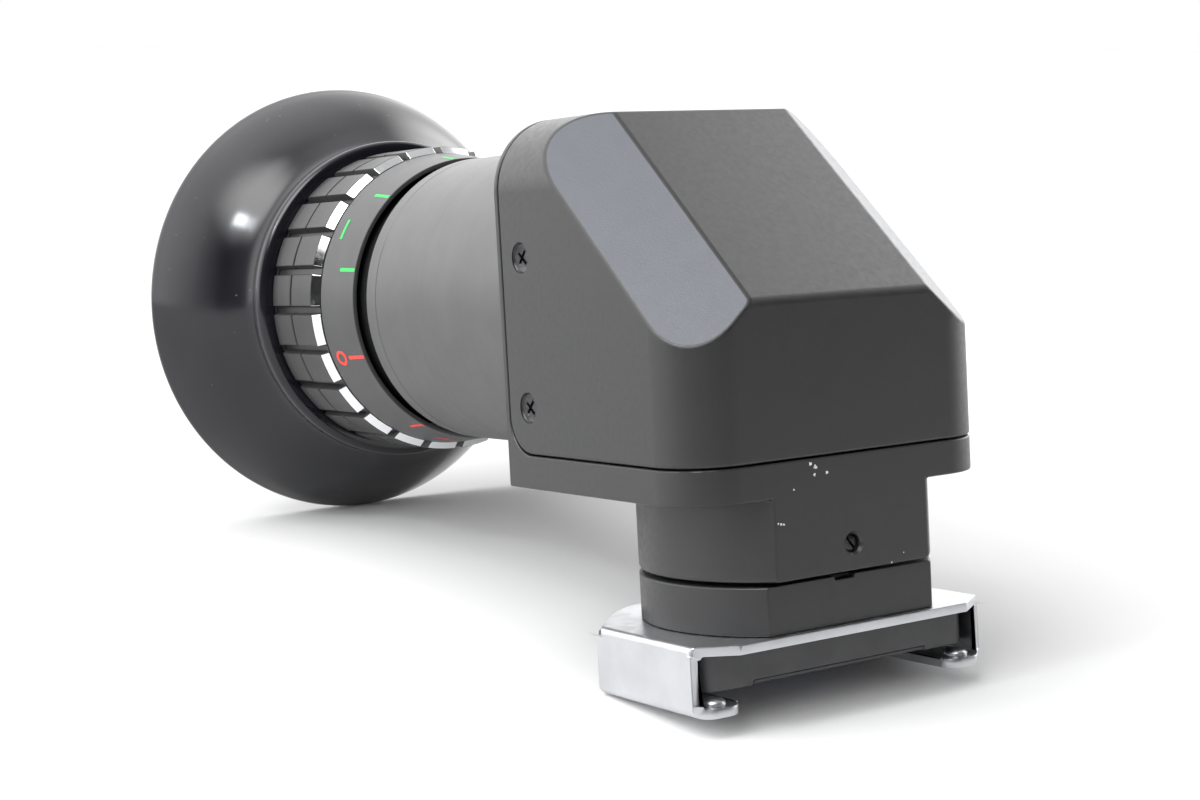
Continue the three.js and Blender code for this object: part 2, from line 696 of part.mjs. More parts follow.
put('lens_cell', lensCell(), BLACK_ANODISED);
put('field_lens', turnY(lensProfile(LENS_R, 44.0, 47.6, 1.0), COARSE), GLASS);
put('lens_spacer', turnY(ring(LENS_R - 1, LENS_R, 47.8, 54.6), COARSE), BLACK_ANODISED);
put('eye_lens', turnY(lensProfile(LENS_R, 54.8, 59.4, 1.3), COARSE), GLASS);
put('cell_ring', turnY(ring(LENS_R - 1.4, LENS_R, 59.6, 61.0), COARSE), DARK_STEEL);

// ---- dioptre ring: turns on the barrel's helicoid ----
function gripRing() {
  const { y0, y1, r, floor, pads, inner } = GRIP;
  const sleeve = SLEEVE.r;
  const sleeveEnd = y1 + SLEEVE.length;
  const pitch = 2 * Math.PI / pads;
  const start = Math.PI - THREE.MathUtils.degToRad(6.5);
  const outline = [];
  for (let i = 0; i < pads; i += 1) {
    const centre = start + i * pitch;
    for (const [offset, radius] of [[-0.375, r], [0, r], [0.375, r], [0.43, floor], [0.57, floor]]) {
      const angle = centre + offset * pitch;
      outline.push([radius * Math.cos(angle), radius * Math.sin(angle)]);
    }
  }
  const teeth = prismY(polygon(outline), y0, y1);
  const form = turnY([
    [inner, y0], [floor + 0.05, y0], [r + 0.2, y0 + 0.75], [r + 0.2, y1 - 0.4],
    [r - 0.2, y1], [sleeve, y1], [sleeve, sleeveEnd], [inner, sleeveEnd], [inner, y0],
  ]);
  const moved = teeth.translate([0, 0, AXIS_Z]);
  const spigot = turnY(ring(inner, sleeve, y1 - 1, sleeveEnd));
  return moved.intersect(form).add(spigot);
}

function scaleRing() {
  const { y0, y1, r0, r1 } = SCALE;
  return turnY([
    [r0 - 0.45, y0], [r0, y0], [r1, y1], [GRIP.inner, y1], [GRIP.inner, 50.4],
    [r0 - 0.45, 50.0], [r0 - 0.45, y0],
  ]);
}

// front bead, throat, bell-shaped wall, rounded rim, bowl, and the seat on the grip's spigot
function eyecup() {
  return turnY([
    [14.75, 61.55], [15.7, 61.55], [16.25, 62.1], [16.3, 62.9], [15.95, 63.5], [15.95, 64.0],
    [16.3, 65.1], [17.2, 66.4], [18.45, 67.8], [19.75, 69.3], [20.9, 70.9], [21.8, 72.4],
    [22.35, 73.5], [22.55, 74.3], [22.3, 74.95], [21.8, 75.2], [21.3, 75.0], [20.5, 73.5],
    [19.4, 71.7], [18.1, 70.1], [16.7, 68.6], [15.3, 67.1], [14.3, 66.0], [14.0, 65.2],
    [12.2, 65.2], [12.2, 64.2], [14.75, 64.2], [14.75, 61.55],
  ]);
}

const helicoid = ring(BARREL_THIN_R + 0.12, HELICOID_R, 50.6, FLANGE.y0 - 0.15);
put('helicoid_ring', turnY(helicoid), BRASS);
put('scale_ring', scaleRing(), BLACK_ANODISED);
put('grip_ring', gripRing(), BLACK_ANODISED);
put('ring_retainer', turnY(ring(CELL_R + 0.3, HELICOID_R, FLANGE.y1 + 0.15, 62.2), COARSE), DARK_STEEL);
put('eyecup', eyecup(), RUBBER);

export default finder;
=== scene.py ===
"""Looks of the right-angle viewfinder attachment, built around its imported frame.

Lengths in the shape functions are millimetres; a piece becomes metres when it is placed.
+Z is up the neck, +Y runs along the eyepiece to the eye, +X is right seen from the front face.
"""

import math

import bmesh
import bpy
from mathutils import Matrix, Vector


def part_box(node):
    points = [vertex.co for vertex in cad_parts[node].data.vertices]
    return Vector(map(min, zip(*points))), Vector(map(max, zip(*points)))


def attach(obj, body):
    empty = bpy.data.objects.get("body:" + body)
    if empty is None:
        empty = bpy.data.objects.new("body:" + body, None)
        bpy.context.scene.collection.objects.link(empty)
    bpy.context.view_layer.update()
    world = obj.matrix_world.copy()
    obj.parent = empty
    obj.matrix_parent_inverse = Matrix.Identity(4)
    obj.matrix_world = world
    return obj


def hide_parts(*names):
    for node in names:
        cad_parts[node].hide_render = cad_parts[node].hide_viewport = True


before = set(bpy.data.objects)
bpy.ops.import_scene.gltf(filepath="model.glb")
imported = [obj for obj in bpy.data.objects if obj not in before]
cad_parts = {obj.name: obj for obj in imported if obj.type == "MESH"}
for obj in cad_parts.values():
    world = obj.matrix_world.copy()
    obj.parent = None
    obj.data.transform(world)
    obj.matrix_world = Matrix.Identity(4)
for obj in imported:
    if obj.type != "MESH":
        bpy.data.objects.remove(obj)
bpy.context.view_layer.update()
MM = 0.001


def mm_box(node):
    """Lowest and highest corner of a CAD node, in millimetres."""
    low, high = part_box(node)
    return low / MM, high / MM


# ---- sizes read from the frame ----
COVER_LOW, COVER_HIGH = mm_box("prism_cover")
BASE_LOW, BASE_HIGH = mm_box("base_casting")
COLLAR_HIGH = mm_box("swivel_collar")[1]
SHOE_LOW, SHOE_HIGH = mm_box("shoe_bracket")
SEAT_LOW, SEAT_HIGH = mm_box("seat_frame")
BARREL_LOW, BARREL_HIGH = mm_box("barrel")
SCALE_LOW, SCALE_HIGH = mm_box("scale_ring")
CUP_HIGH = mm_box("eyecup")[1]
CELL_LOW, CELL_HIGH = mm_box("lens_cell")

HALF = COVER_HIGH.x                # half of the housing's width
FRONT = COVER_LOW.y
TOP = COVER_HIGH.z
REAR = BASE_HIGH.y
NECK_BOTTOM = BASE_LOW.z
COLUMN_R = COLLAR_HIGH.x           # neck and collar
PLATE_TOP = SHOE_HIGH.z
AXIS_Z = (BARREL_LOW.z + BARREL_HIGH.z) / 2
BARREL_R = BARREL_HIGH.x

# ---- sizes of the details ----
TURNED = 192                       # segments round a large turned piece

# housing
UNDERSIDE = 14.15                  # lower face of the base
SEAM = 16.88                       # where the cover meets the base
SEAM_GAP = 0.12
FRONT_CORNER = 4.7                 # upright front edges
TOP_CORNER = 6.0                   # top edges, seen from behind
REAR_CORNER = 3.0                  # under the rear end of the cover
WALL = 1.5
FLANGE_T = 0.62                    # back plate
STEP_T = 1.6                       # its step inside the cover
SLANT_LOW_Z = 29.05                # the slanted face meets the front
SLANT_HIGH_Y = 8.0                 # and the top
FACET_INSET = 6.3
FACET_DROP = 4.1
LUG_X = 11.6                       # lugs that take the cover screws
LUG_FRONT = 11.5
LUG_HALF = 1.9
SCREW_Y = 13.3
SCREW_ZS = (20.8, 32.95)
GRUB_Z = 9.95
GRUB_R = 0.68

# shoe and collar
SHEET = 0.75                       # the bracket's thickness
LIP_INNER = 10.3
LIP_FRONT = -7.8
WALL_FRONT = -6.7
WALL_REAR = 5.9
RIVET_X = 12.2
RIVET_Y = -6.3
COLLAR_TOP = 7.55
COLLAR_FLAT = -8.3                 # the flat on its front
HUB_R = 7.0                        # the hub that the housing turns on
LIGHT_R = 5.6                      # the way through for the light

# barrel, scale and grip
BARREL_STEP = 43.88                # the barrel gets thinner here
SCALE_START = SCALE_LOW.y
SCALE_END = SCALE_HIGH.y
SCALE_R0 = 13.65
SCALE_R1 = SCALE_HIGH.x
PADS = 24
PAD_PHASE = 6.5                    # degrees from -X to the middle of a pad
PAD_R = 15.1
PAD_FLOOR = 14.35
PAD_FRONT = 51.85
PAD_REAR = 61.35
PAD_GROOVE = 56.95                 # the thin groove round the middle


# ---- mesh helpers ----
def new_object(name, verts, faces):
    """A mesh object in the scene, with its faces turned outward."""
    mesh = bpy.data.meshes.new(name)
    mesh.from_pydata([Vector(v) for v in verts], [], faces)
    mesh.validate()
    obj = bpy.data.objects.new(name, mesh)
    bpy.context.scene.collection.objects.link(obj)
    outward(obj)
    return obj


def outward(obj):
    """Turns every face of a closed mesh outward."""
    work = bmesh.new()
    work.from_mesh(obj.data)
    bmesh.ops.recalc_face_normals(work, faces=work.faces)
    if work.calc_volume(signed=True) < 0:
        bmesh.ops.reverse_faces(work, faces=work.faces)
    work.to_mesh(obj.data)
    work.free()


def weld(obj):
    """Joins vertices that lie on the same spot."""
    work = bmesh.new()
    work.from_mesh(obj.data)
    bmesh.ops.remove_doubles(work, verts=work.verts, dist=0.0005)
    work.to_mesh(obj.data)
    work.free()


def bake(obj):
    """Makes the object's modifiers part of its mesh."""
    graph = bpy.context.evaluated_depsgraph_get()
    mesh = bpy.data.meshes.new_from_object(obj.evaluated_get(graph))
    obj.modifiers.clear()
    obj.data = mesh
    return obj


def combine(obj, tool, operation="DIFFERENCE"):
    """Cuts, joins or crosses an object with a tool, and removes the tool."""
    modifier = obj.modifiers.new(operation.lower(), "BOOLEAN")
    modifier.object = tool
    modifier.operation = operation
    modifier.solver = "EXACT"
    bake(obj)
    bpy.data.objects.remove(tool)
    return obj


def soften(obj, width, segments, angle, tidy=True):
    """Rounds every edge sharper than the angle; tidy first joins the flat pieces of each face."""
    work = bmesh.new()
    work.from_mesh(obj.data)
    bmesh.ops.remove_doubles(work, verts=work.verts, dist=0.002)
    if tidy:
        bmesh.ops.dissolve_limit(work, angle_limit=math.radians(0.3), verts=work.verts, edges=work.edges)
    work.to_mesh(obj.data)
    work.free()
    modifier = obj.modifiers.new("round", "BEVEL")
    modifier.width = width
    modifier.segments = segments
    modifier.limit_method = "ANGLE"
    modifier.angle_limit = math.radians(angle)
    modifier.use_clamp_overlap = False
    bake(obj)
    outward(obj)
    return obj


def arc(cx, cy, radius, start, end, steps):
    """Points on a circle from one angle to another, in degrees."""
    found = []
    for i in range(steps + 1):
        angle = math.radians(start + (end - start) * i / steps)
        found.append((cx + radius * math.cos(angle), cy + radius * math.sin(angle)))
    return found


def fillet(points, radius, steps=4):
    """A closed outline with its corners rounded; radius is one number or one for each point."""
    count = len(points)
    radii = radius if hasattr(radius, "__len__") else [radius] * count
    found = []
    for i, point in enumerate(points):
        here = Vector(point)
        back = Vector(points[i - 1]) - here
        ahead = Vector(points[(i + 1) % count]) - here
        half = back.angle(ahead) / 2
        straight = half > math.radians(89)
        reach = 0 if straight else radii[i] / math.tan(half)
        reach = min(reach, back.length * 0.49, ahead.length * 0.49)
        if reach < 1e-3:
            found.append(tuple(here))
            continue
        centre = here + (back.normalized() + ahead.normalized()).normalized() * (reach / math.cos(half))
        first = here + back.normalized() * reach - centre
        last = here + ahead.normalized() * reach - centre
        sweep = first.angle(last)
        for k in range(steps + 1):
            t = k / steps
            spoke = (first * math.sin((1 - t) * sweep) + last * math.sin(t * sweep)) / math.sin(sweep)
            found.append(tuple(centre + spoke))
    return found


def along(axis, radius_x, radius_y, distance):
    """A point for a section drawn across an axis."""
    if axis == "X":
        return Vector((distance, radius_x, radius_y))
    if axis == "Y":
        return Vector((radius_x, distance, radius_y))
    return Vector((radius_x, radius_y, distance))


def turned(name, profile, axis="Y", centre=(0, 0, None), segments=TURNED, angles=None, limit=None):
    """A closed profile of (radius, distance along the axis) turned about that axis through centre.
    angles replaces the even steps; limit(step, radius, distance) gives the radius at one of them."""
    middle = Vector((centre[0], centre[1], AXIS_Z if centre[2] is None else centre[2]))
    steps = angles or [2 * math.pi * i / segments for i in range(segments)]
    segments = len(steps)
    verts = []
    rings = []
    for radius, distance in profile:
        if radius < 1e-6:
            rings.append([len(verts)])
            verts.append(middle + along(axis, 0, 0, distance))
            continue
        rings.append(list(range(len(verts), len(verts) + segments)))
        for i, angle in enumerate(steps):
            r = limit(i, radius, distance) if limit else radius
            verts.append(middle + along(axis, r * math.cos(angle), r * math.sin(angle), distance))
    faces = []
    for one, two in zip(rings, rings[1:] + rings[:1]):
        for i in range(segments):
            j = (i + 1) % segments
            if len(one) == 1 and len(two) == 1:
                break
            if len(one) == 1:
                faces.append((one[0], two[i], two[j]))
            elif len(two) == 1:
                faces.append((one[i], two[0], one[j]))
            else:
                faces.append((one[i], two[i], two[j], one[j]))
    return new_object(name, verts, faces)


def slab(name, outline, low, high, axis="Z"):
    """An outline extruded along an axis: drawn in (x, y) for Z, (x, z) for Y and (y, z) for X."""
    count = len(outline)
    verts = [along(axis, x, y, low) for x, y in outline] + [along(axis, x, y, high) for x, y in outline]
    faces = [tuple(range(count)), tuple(range(2 * count - 1, count - 1, -1))]
    for i in range(count):
        j = (i + 1) % count
        faces.append((i, i + count, j + count, j))
    return new_object(name, verts, faces)


def ring_profile(inner, outer, low, high, corner):
    """A plain ring's profile, with rounded rims."""
    return fillet([(inner, low), (outer, low), (outer, high), (inner, high)], corner, 2)


def disc_profile(radius, low, high, corner):
    """A solid disc's profile, with rounded rims."""
    return fillet([(0, low), (radius, low), (radius, high), (0, high)], [0, corner, corner, 0], 3)


def aim(direction, start):
    """Turns +Z to a direction and moves the origin to a point."""
    turn = Vector((0, 0, 1)).rotation_difference(Vector(direction).normalized())
    return Matrix.Translation(Vector(start)) @ turn.to_matrix().to_4x4()


def drill(obj, radius, start, direction, length, cone=0.0, segments=48):
    """Cuts a round hole from a point along a direction; cone widens its mouth."""
    mouth = [(radius, -1)]
    if cone:
        mouth = [(radius + cone, -1), (radius + cone, 0), (radius, cone)]
    profile = [(0, -1), *mouth, (radius, length), (0, length)]
    tool = turned("drill", profile, "Z", (0, 0, 0), segments)
    tool.data.transform(aim(direction, start))
    return combine(obj, tool)


def place(obj, body, slot, material, *nodes, sharp=38, weighted=True):
    """Shades a finished piece, turns it into metres and puts it on its body."""
    obj.data.transform(Matrix.Scale(MM, 4))
    obj.data.materials.clear()
    for each in material if isinstance(material, (list, tuple)) else [material]:
        obj.data.materials.append(each)
    for face in obj.data.polygons:
        face.use_smooth = True
    obj.data.set_sharp_from_angle(angle=math.radians(sharp))
    if weighted:
        modifier = obj.modifiers.new("normals", "WEIGHTED_NORMAL")
        modifier.keep_sharp = True
        modifier.weight = 100
        bake(obj)
    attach(obj, body)
    if nodes:
        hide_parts(*nodes)
    return obj


# ---- materials ----
class Finish:
    """A node material with object coordinates, built up step by step."""

    def __init__(self, name, color, roughness, metallic=0.0, specular=0.5):
        self.material = bpy.data.materials.new(name)
        self.material.use_nodes = True
        self.nodes = self.material.node_tree.nodes
        self.links = self.material.node_tree.links
        self.shader = self.nodes["Principled BSDF"]
        self.shader.inputs["Base Color"].default_value = (*color, 1)
        self.shader.inputs["Roughness"].default_value = roughness
        self.shader.inputs["Metallic"].default_value = metallic
        self.shader.inputs["Specular IOR Level"].default_value = specular
        self.color = color
        self.roughness = roughness
        self.coords = self.nodes.new("ShaderNodeTexCoord")
        self.normal = None

    def noise(self, size, detail=2.0, stretch=(1, 1, 1)):
        """Noise whose blobs are about size millimetres across."""
        mapping = self.nodes.new("ShaderNodeMapping")
        mapping.inputs["Scale"].default_value = stretch
        self.links.new(self.coords.outputs["Object"], mapping.inputs["Vector"])
        texture = self.nodes.new("ShaderNodeTexNoise")
        texture.inputs["Scale"].default_value = 1 / (size * MM)
        texture.inputs["Detail"].default_value = detail
        self.links.new(mapping.outputs["Vector"], texture.inputs["Vector"])
        return texture.outputs["Fac"]

    def ramp(self, value, stops):
        """Maps a value through colour stops of (position, colour)."""
        node = self.nodes.new("ShaderNodeValToRGB")
        ramp = node.color_ramp
        while len(ramp.elements) < len(stops):
            ramp.elements.new(0.5)
        for element, (position, color) in zip(ramp.elements, stops):
            element.position = position
            element.color = (*color, 1)
        self.links.new(value, node.inputs["Fac"])
        return node.outputs["Color"]

    def number(self, value, low, high, from_low=0.3, from_high=0.7):
        """Maps a value from one range to another."""
        node = self.nodes.new("ShaderNodeMapRange")
        node.inputs["From Min"].default_value = from_low
        node.inputs["From Max"].default_value = from_high
        node.inputs["To Min"].default_value = low
        node.inputs["To Max"].default_value = high
        self.links.new(value, node.inputs["Value"])
        return node.outputs["Result"]

    def tint(self, value, dark, light):
        """Base colour that varies between two shades of the finish's own colour."""
        shades = [tuple(c * k for c in self.color) for k in (dark, light)]
        color = self.ramp(value, [(0.35, shades[0]), (0.65, shades[1])])
        self.links.new(color, self.shader.inputs["Base Color"])
        return self

    def rough(self, value, spread):
        """Roughness that varies round the finish's own."""
        result = self.number(value, self.roughness - spread, self.roughness + spread)
        self.links.new(result, self.shader.inputs["Roughness"])
        return self

    def bump(self, value, depth, strength=1.0):
        """Adds relief about depth millimetres deep."""
        node = self.nodes.new("ShaderNodeBump")
        node.inputs["Distance"].default_value = depth * MM
        node.inputs["Strength"].default_value = strength
        self.links.new(value, node.inputs["Height"])
        if self.normal is not None:
            self.links.new(self.normal, node.inputs["Normal"])
        self.normal = node.outputs["Normal"]
        self.links.new(self.normal, self.shader.inputs["Normal"])
        return self


def painted_black(name, color, roughness, grain):
    """Fine-grained satin paint on a die casting."""
    made = Finish(name, color, roughness, 0.0, 0.6)
    made.tint(made.noise(2.4, 3), 0.96, 1.04)
    made.rough(made.noise(0.5, 2), 0.05)
    made.bump(made.noise(0.16, 2), 0.012, grain)
    return made.material


def anodised(name, color, roughness):
    """Turned aluminium, anodised black: very fine lines round the axis."""
    made = Finish(name, color, roughness, 0.35)
    line_width = 0.055
    lines = made.noise(1.0, 3, (0.02, 1 / line_width, 0.02))
    made.tint(made.noise(3.0, 2), 0.95, 1.05)
    made.rough(lines, 0.05)
    made.bump(lines, 0.006, 0.6)
    made.bump(made.noise(0.12, 1), 0.004, 0.4)
    return made.material


def plated_silver():
    """Satin nickel plate with a faint rolling grain."""
    made = Finish("satin_nickel", (0.60, 0.61, 0.63), 0.38, 1.0)
    made.tint(made.noise(3.5, 4), 0.95, 1.04)
    made.rough(made.noise(0.8, 4), 0.05)
    made.bump(made.noise(0.35, 3), 0.006, 0.4)
    made.bump(made.noise(0.9, 2, (1, 0.08, 1)), 0.004, 0.3)
    return made.material


def bright_cut():
    """Diamond-turned metal with faint cutter lines."""
    made = Finish("bright_cut", (0.86, 0.87, 0.89), 0.12, 1.0)
    made.rough(made.noise(0.5, 2), 0.05)
    made.bump(made.noise(0.6, 2, (1, 6, 1)), 0.004, 0.4)
    return made.material


def blackened_steel():
    """Chemically blackened screws and rings, rubbed here and there."""
    made = Finish("blackened_steel", (0.05, 0.05, 0.054), 0.3, 0.9)
    made.tint(made.noise(0.5, 3), 0.7, 1.4)
    made.rough(made.noise(0.25, 2), 0.08)
    made.bump(made.noise(0.1, 2), 0.004, 0.5)
    return made.material


def spring_steel():
    """Bright drawn steel."""
    made = Finish("spring_steel", (0.45, 0.46, 0.48), 0.28, 1.0)
    made.rough(made.noise(0.4, 3), 0.07)
    made.bump(made.noise(0.4, 2, (1, 0.1, 1)), 0.003, 0.4)
    return made.material


def moulded_black():
    """Moulded plastic with a fine satin texture."""
    made = Finish("moulded_black", (0.045, 0.045, 0.047), 0.42)
    made.tint(made.noise(2.0, 3), 0.9, 1.1)
    made.rough(made.noise(0.4, 3), 0.06)
    made.bump(made.noise(0.2, 3), 0.008, 0.4)
    return made.material


def soft_rubber():
    """Smooth semi-gloss rubber with a little dust and a faint mould bloom."""
    made = Finish("soft_rubber", (0.006, 0.006, 0.008), 0.15)
    dust = made.noise(0.35, 1)
    bloom = made.noise(7.0, 3)
    speck = made.number(dust, 0.0, 1.0, 0.79, 0.83)
    base = made.ramp(bloom, [(0.35, (0.005, 0.005, 0.007)), (0.7, (0.009, 0.009, 0.012))])
    mix = made.nodes.new("ShaderNodeMix")
    mix.data_type = "RGBA"
    mix.inputs["B"].default_value = (0.22, 0.22, 0.23, 1)
    made.links.new(speck, mix.inputs["Factor"])
    made.links.new(base, mix.inputs["A"])
    made.links.new(mix.outputs["Result"], made.shader.inputs["Base Color"])
    made.rough(made.noise(4.0, 3), 0.035)
    made.bump(made.noise(6.0, 2), 0.04, 0.12)
    made.bump(made.noise(0.3, 2), 0.003, 0.2)
    return made.material


def brass_turned():
    """Turned brass with tool lines round the axis."""
    made = Finish("turned_brass", (0.60, 0.43, 0.17), 0.3, 1.0)
    made.rough(made.noise(0.5, 3), 0.07)
    made.bump(made.noise(0.8, 2, (0.05, 12, 0.05)), 0.005, 0.5)
    return made.material


def scale_paint(name, color):
    """Thick brushed-in paint."""
    made = Finish(name, color, 0.45)
    made.tint(made.noise(0.3, 2), 0.85, 1.1)
    made.bump(made.noise(0.12, 2), 0.006, 0.5)
    return made.material


def painted_shade_black():
    """Matt near-black paint in the recess behind the barrel's step: painted shade for the dark gap under
    the scale ring.
    """
    made = Finish("painted_shade_black", (0.006, 0.006, 0.006), 0.75, 0.0, 0.2)
    made.tint(made.noise(0.8, 2), 0.8, 1.2)
    made.bump(made.noise(0.15, 2), 0.006, 0.4)
    return made.material


def coated_glass():
    """Optical glass with a bluish coating."""
    made = Finish("coated_glass", (0.93, 0.96, 0.97), 0.02)
    made.shader.inputs["Transmission Weight"].default_value = 1.0
    made.shader.inputs["IOR"].default_value = 1.52
    made.shader.inputs["Coat Weight"].default_value = 0.6
    made.shader.inputs["Coat Tint"].default_value = (0.55, 0.62, 1.0, 1)
    made.shader.inputs["Coat Roughness"].default_value = 0.02
    made.bump(made.noise(6.0, 1), 0.004, 0.1)
    return made.material


PAINT = painted_black("satin_paint", (0.014, 0.014, 0.0148), 0.40, 0.5)
# a paler, bluer copy of the satin paint for the two facets: a painted highlight for the overhead light
# that they catch
FACET_PAINTED_HIGHLIGHT = painted_black("facet_painted_highlight", (0.058, 0.062, 0.076), 0.36, 0.9)
ANODISED = anodised("anodised_barrel", (0.09, 0.09, 0.092), 0.42)
ANODISED_SCALE = anodised("anodised_scale", (0.07, 0.07, 0.071), 0.4)
ANODISED_GRIP = anodised("anodised_grip", (0.04, 0.04, 0.041), 0.38)
SILVER = plated_silver()
CHROME = bright_cut()
DARK_STEEL = blackened_steel()
STEEL = spring_steel()
MOULDED = moulded_black()
RUBBER = soft_rubber()
BRASS = brass_turned()
GLASS = coated_glass()
# near-black painted shade for the recess behind the barrel's step
RECESS_PAINTED_SHADE = painted_shade_black()
RED = scale_paint("red_scale_paint", (0.80, 0.045, 0.03))
GREEN = scale_paint("green_scale_paint", (0.03, 0.50, 0.10))
BARE = scale_paint("bare_primer", (0.62, 0.60, 0.55))


# ---- housing outlines ----
def plan_outline(inset, rear):
    """The housing seen from above, with rounded front corners."""
    half = HALF - inset
    front = FRONT + inset
    r = max(FRONT_CORNER - inset, 0.3)
    left = arc(-half + r, front + r, r, 180, 270, 20)
    right = arc(half - r, front + r, r, 270, 360, 20)
    return [(-half, rear), *left, *right, (half, rear)]


def back_outline(inset, bottom):
    """The housing seen from behind, with rounded top corners."""
    half = HALF - inset
    top = TOP - inset
    r = TOP_CORNER - inset
    right = arc(half - r, top - r, r, 0, 90, 24)
    left = arc(-half + r, top - r, r, 90, 180, 24)
    return [(-half, bottom), (half, bottom), *right, *left]


SLANT = Vector((0, SLANT_HIGH_Y - FRONT, TOP - SLANT_LOW_Z)).normalized()
SLANT_NORMAL = Vector((0, -SLANT.z, SLANT.y))


def side_outline(inset, bottom, rear):
    """The housing seen from the side: front wall, slanted face, top, back and rounded rear corner."""
    soft = 1.1
    shift = SLANT_NORMAL * inset
    front = FRONT + inset
    top = TOP - inset
    slope = SLANT.z / SLANT.y
    low_z = SLANT_LOW_Z - shift.z + (front - (FRONT - shift.y)) * slope
    high_y = FRONT - shift.y + (top - (SLANT_LOW_Z - shift.z)) / slope
    corner = 0 if inset else REAR_CORNER
    points = [(front, bottom), (front, low_z), (high_y, top), (rear, top), (rear, bottom)]
    return fillet(points, [0, soft, soft * 0.5, 0, corner], 10)


def facet_normal(side):
    """The way that the flat facet on one side faces."""
    return (SLANT_NORMAL * FACET_INSET + Vector((side, 0, 0)) * FACET_DROP).normalized()


def facet_tool(side, inset):
    """A block beyond the flat facet between a side and the slanted face."""
    edge = Vector((side * (HALF - FACET_INSET), FRONT, SLANT_LOW_Z))
    normal = facet_normal(side)
    size = 60
    corners = [(-size, -size), (size, -size), (size, size), (-size, size)]
    tool = slab("facet", corners, 0, size)
    tool.data.transform(aim(normal, edge - normal * inset))
    return tool


def cover_form(name, inset, bottom, rear):
    """The cover's solid form, or the room inside it where inset is the wall."""
    past = 9
    form = slab(name, side_outline(inset, bottom, rear), -HALF - 5, HALF + 5, "X")
    plan = slab("plan", plan_outline(inset, rear + past), bottom - past, TOP + past)
    combine(form, plan, "INTERSECT")
    back = slab("back", back_outline(inset, bottom - past), FRONT - past, rear + past, "Y")
    combine(form, back, "INTERSECT")
    for side in (-1, 1):
        combine(form, facet_tool(side, inset))
    return form


def countersink(obj, side, z):
    """Cuts a screw's hole and the seat of its head into one side of the cover."""
    mouth = 1.27
    hole = 0.7
    tool = turned("sink", [
        (0, -1), (mouth, -1), (mouth, 0.12), (mouth - 0.05, 0.2), (hole, 0.95), (hole, 4), (0, 4),
    ], "Z", (0, 0, 0), 64)
    tool.data.transform(aim((-side, 0, 0), (side * HALF, SCREW_Y, z)))
    return combine(obj, tool)


def prism_cover():
    """The wedge-shaped shell; its two flat facets get a paler, bluer copy of the paint as a painted
    highlight.
    """
    bottom = SEAM + SEAM_GAP
    rear = REAR - FLANGE_T - 0.06
    cover = cover_form("cover_shell", 0, bottom, rear)
    soften(cover, 0.22, 4, 14)
    combine(cover, cover_form("inside", WALL, bottom - 6, rear + 6))
    for side in (-1, 1):
        for z in SCREW_ZS:
            countersink(cover, side, z)
    place(cover, "housing", "black_paint", [PAINT, FACET_PAINTED_HIGHLIGHT], "prism_cover", sharp=30)
    # faces on the two facets take the paler copy of the paint, a painted highlight
    for face in cover.data.polygons:
        outside = face.center.z > SLANT_LOW_Z * MM * 0.9
        facing = max(face.normal.dot(facet_normal(side)) for side in (-1, 1))
        face.material_index = 1 if outside and facing > 0.9995 else 0
    return cover


def base_casting():
    """Neck, base plate and back plate, with the lugs that take the cover screws."""
    bottom = UNDERSIDE
    base = slab("base", plan_outline(0, REAR - 0.02), bottom, SEAM)
    combine(base, slab("flange", back_outline(0, bottom), REAR - FLANGE_T, REAR, "Y"), "UNION")
    column = turned("column", [
        (0, NECK_BOTTOM), (COLUMN_R - 0.2, NECK_BOTTOM), (COLUMN_R, NECK_BOTTOM + 0.15),
        (COLUMN_R, bottom + 1), (0, bottom + 1),
    ], "Z", (0, 0, 0))
    flat = [(-20, -20), (20, -20), (20, FRONT), (-20, FRONT)]
    combine(column, slab("flat", flat, 0, 20))
    combine(base, column, "UNION")
    low = SEAM - 0.01
    rear = REAR - FLANGE_T
    fill = [(rear - REAR_CORNER, low), (rear + 0.01, low), (rear + 0.01, low + REAR_CORNER)]
    fill += arc(rear - REAR_CORNER, low + REAR_CORNER, REAR_CORNER, 0, -90, 12)[1:-1]
    combine(base, slab("corner", fill, -HALF, HALF, "X"), "UNION")
    soften(base, 0.16, 3, 30)
    screw_hole = 0.65
    lens_hole = 8.6
    barrel_hole = 9.85
    inset = WALL + 0.05
    step_front = rear - STEP_T
    step = slab("step", back_outline(inset, bottom + 0.5), step_front, REAR - 0.1, "Y")
    combine(base, step, "UNION")
    for side in (-1, 1):
        for z in SCREW_ZS:
            near, far = sorted((side * LUG_X, side * (HALF - inset)))
            low = z - LUG_HALF
            high = z + LUG_HALF
            shape = [(near, low), (far, low), (far, high), (near, high)]
            combine(base, slab("lug", shape, LUG_FRONT, step_front + 0.1, "Y"), "UNION")
            drill(base, screw_hole, (side * HALF, SCREW_Y, z), (-side, 0, 0), 6)
    hub_hole = HUB_R + 0.05
    drill(base, hub_hole, (0, 0, NECK_BOTTOM - 1), (0, 0, 1), SEAM - 0.4 - NECK_BOTTOM, 0, 96)
    drill(base, lens_hole, (0, 0, bottom + 0.85), (0, 0, 1), 6, 0, 96)
    drill(base, barrel_hole, (0, step_front - 2, AXIS_Z), (0, 1, 0), 9, 0, 128)
    drill(base, GRUB_R + 0.05, (0, FRONT, GRUB_Z), (0, 1, 0), 3.4, 0.22)
    return place(base, "housing", "black_paint", PAINT, "base_casting", sharp=30)


def cross_recess(obj, origin, inward, reach, depth, width):
    """Cuts a cross that narrows with depth into a screw head."""
    spin = Matrix.Rotation(math.radians(40), 4, "Z")
    tip = reach * 0.35
    for quarter in range(2):
        blade = slab("blade", [
            (-reach, -0.1), (reach, -0.1), (reach, 0), (tip, depth), (-tip, depth), (-reach, 0),
        ], -width / 2, width / 2, "Y")
        blade.data.transform(Matrix.Rotation(quarter * math.pi / 2, 4, "Z"))
        blade.data.transform(aim(inward, origin) @ spin)
        combine(obj, blade)


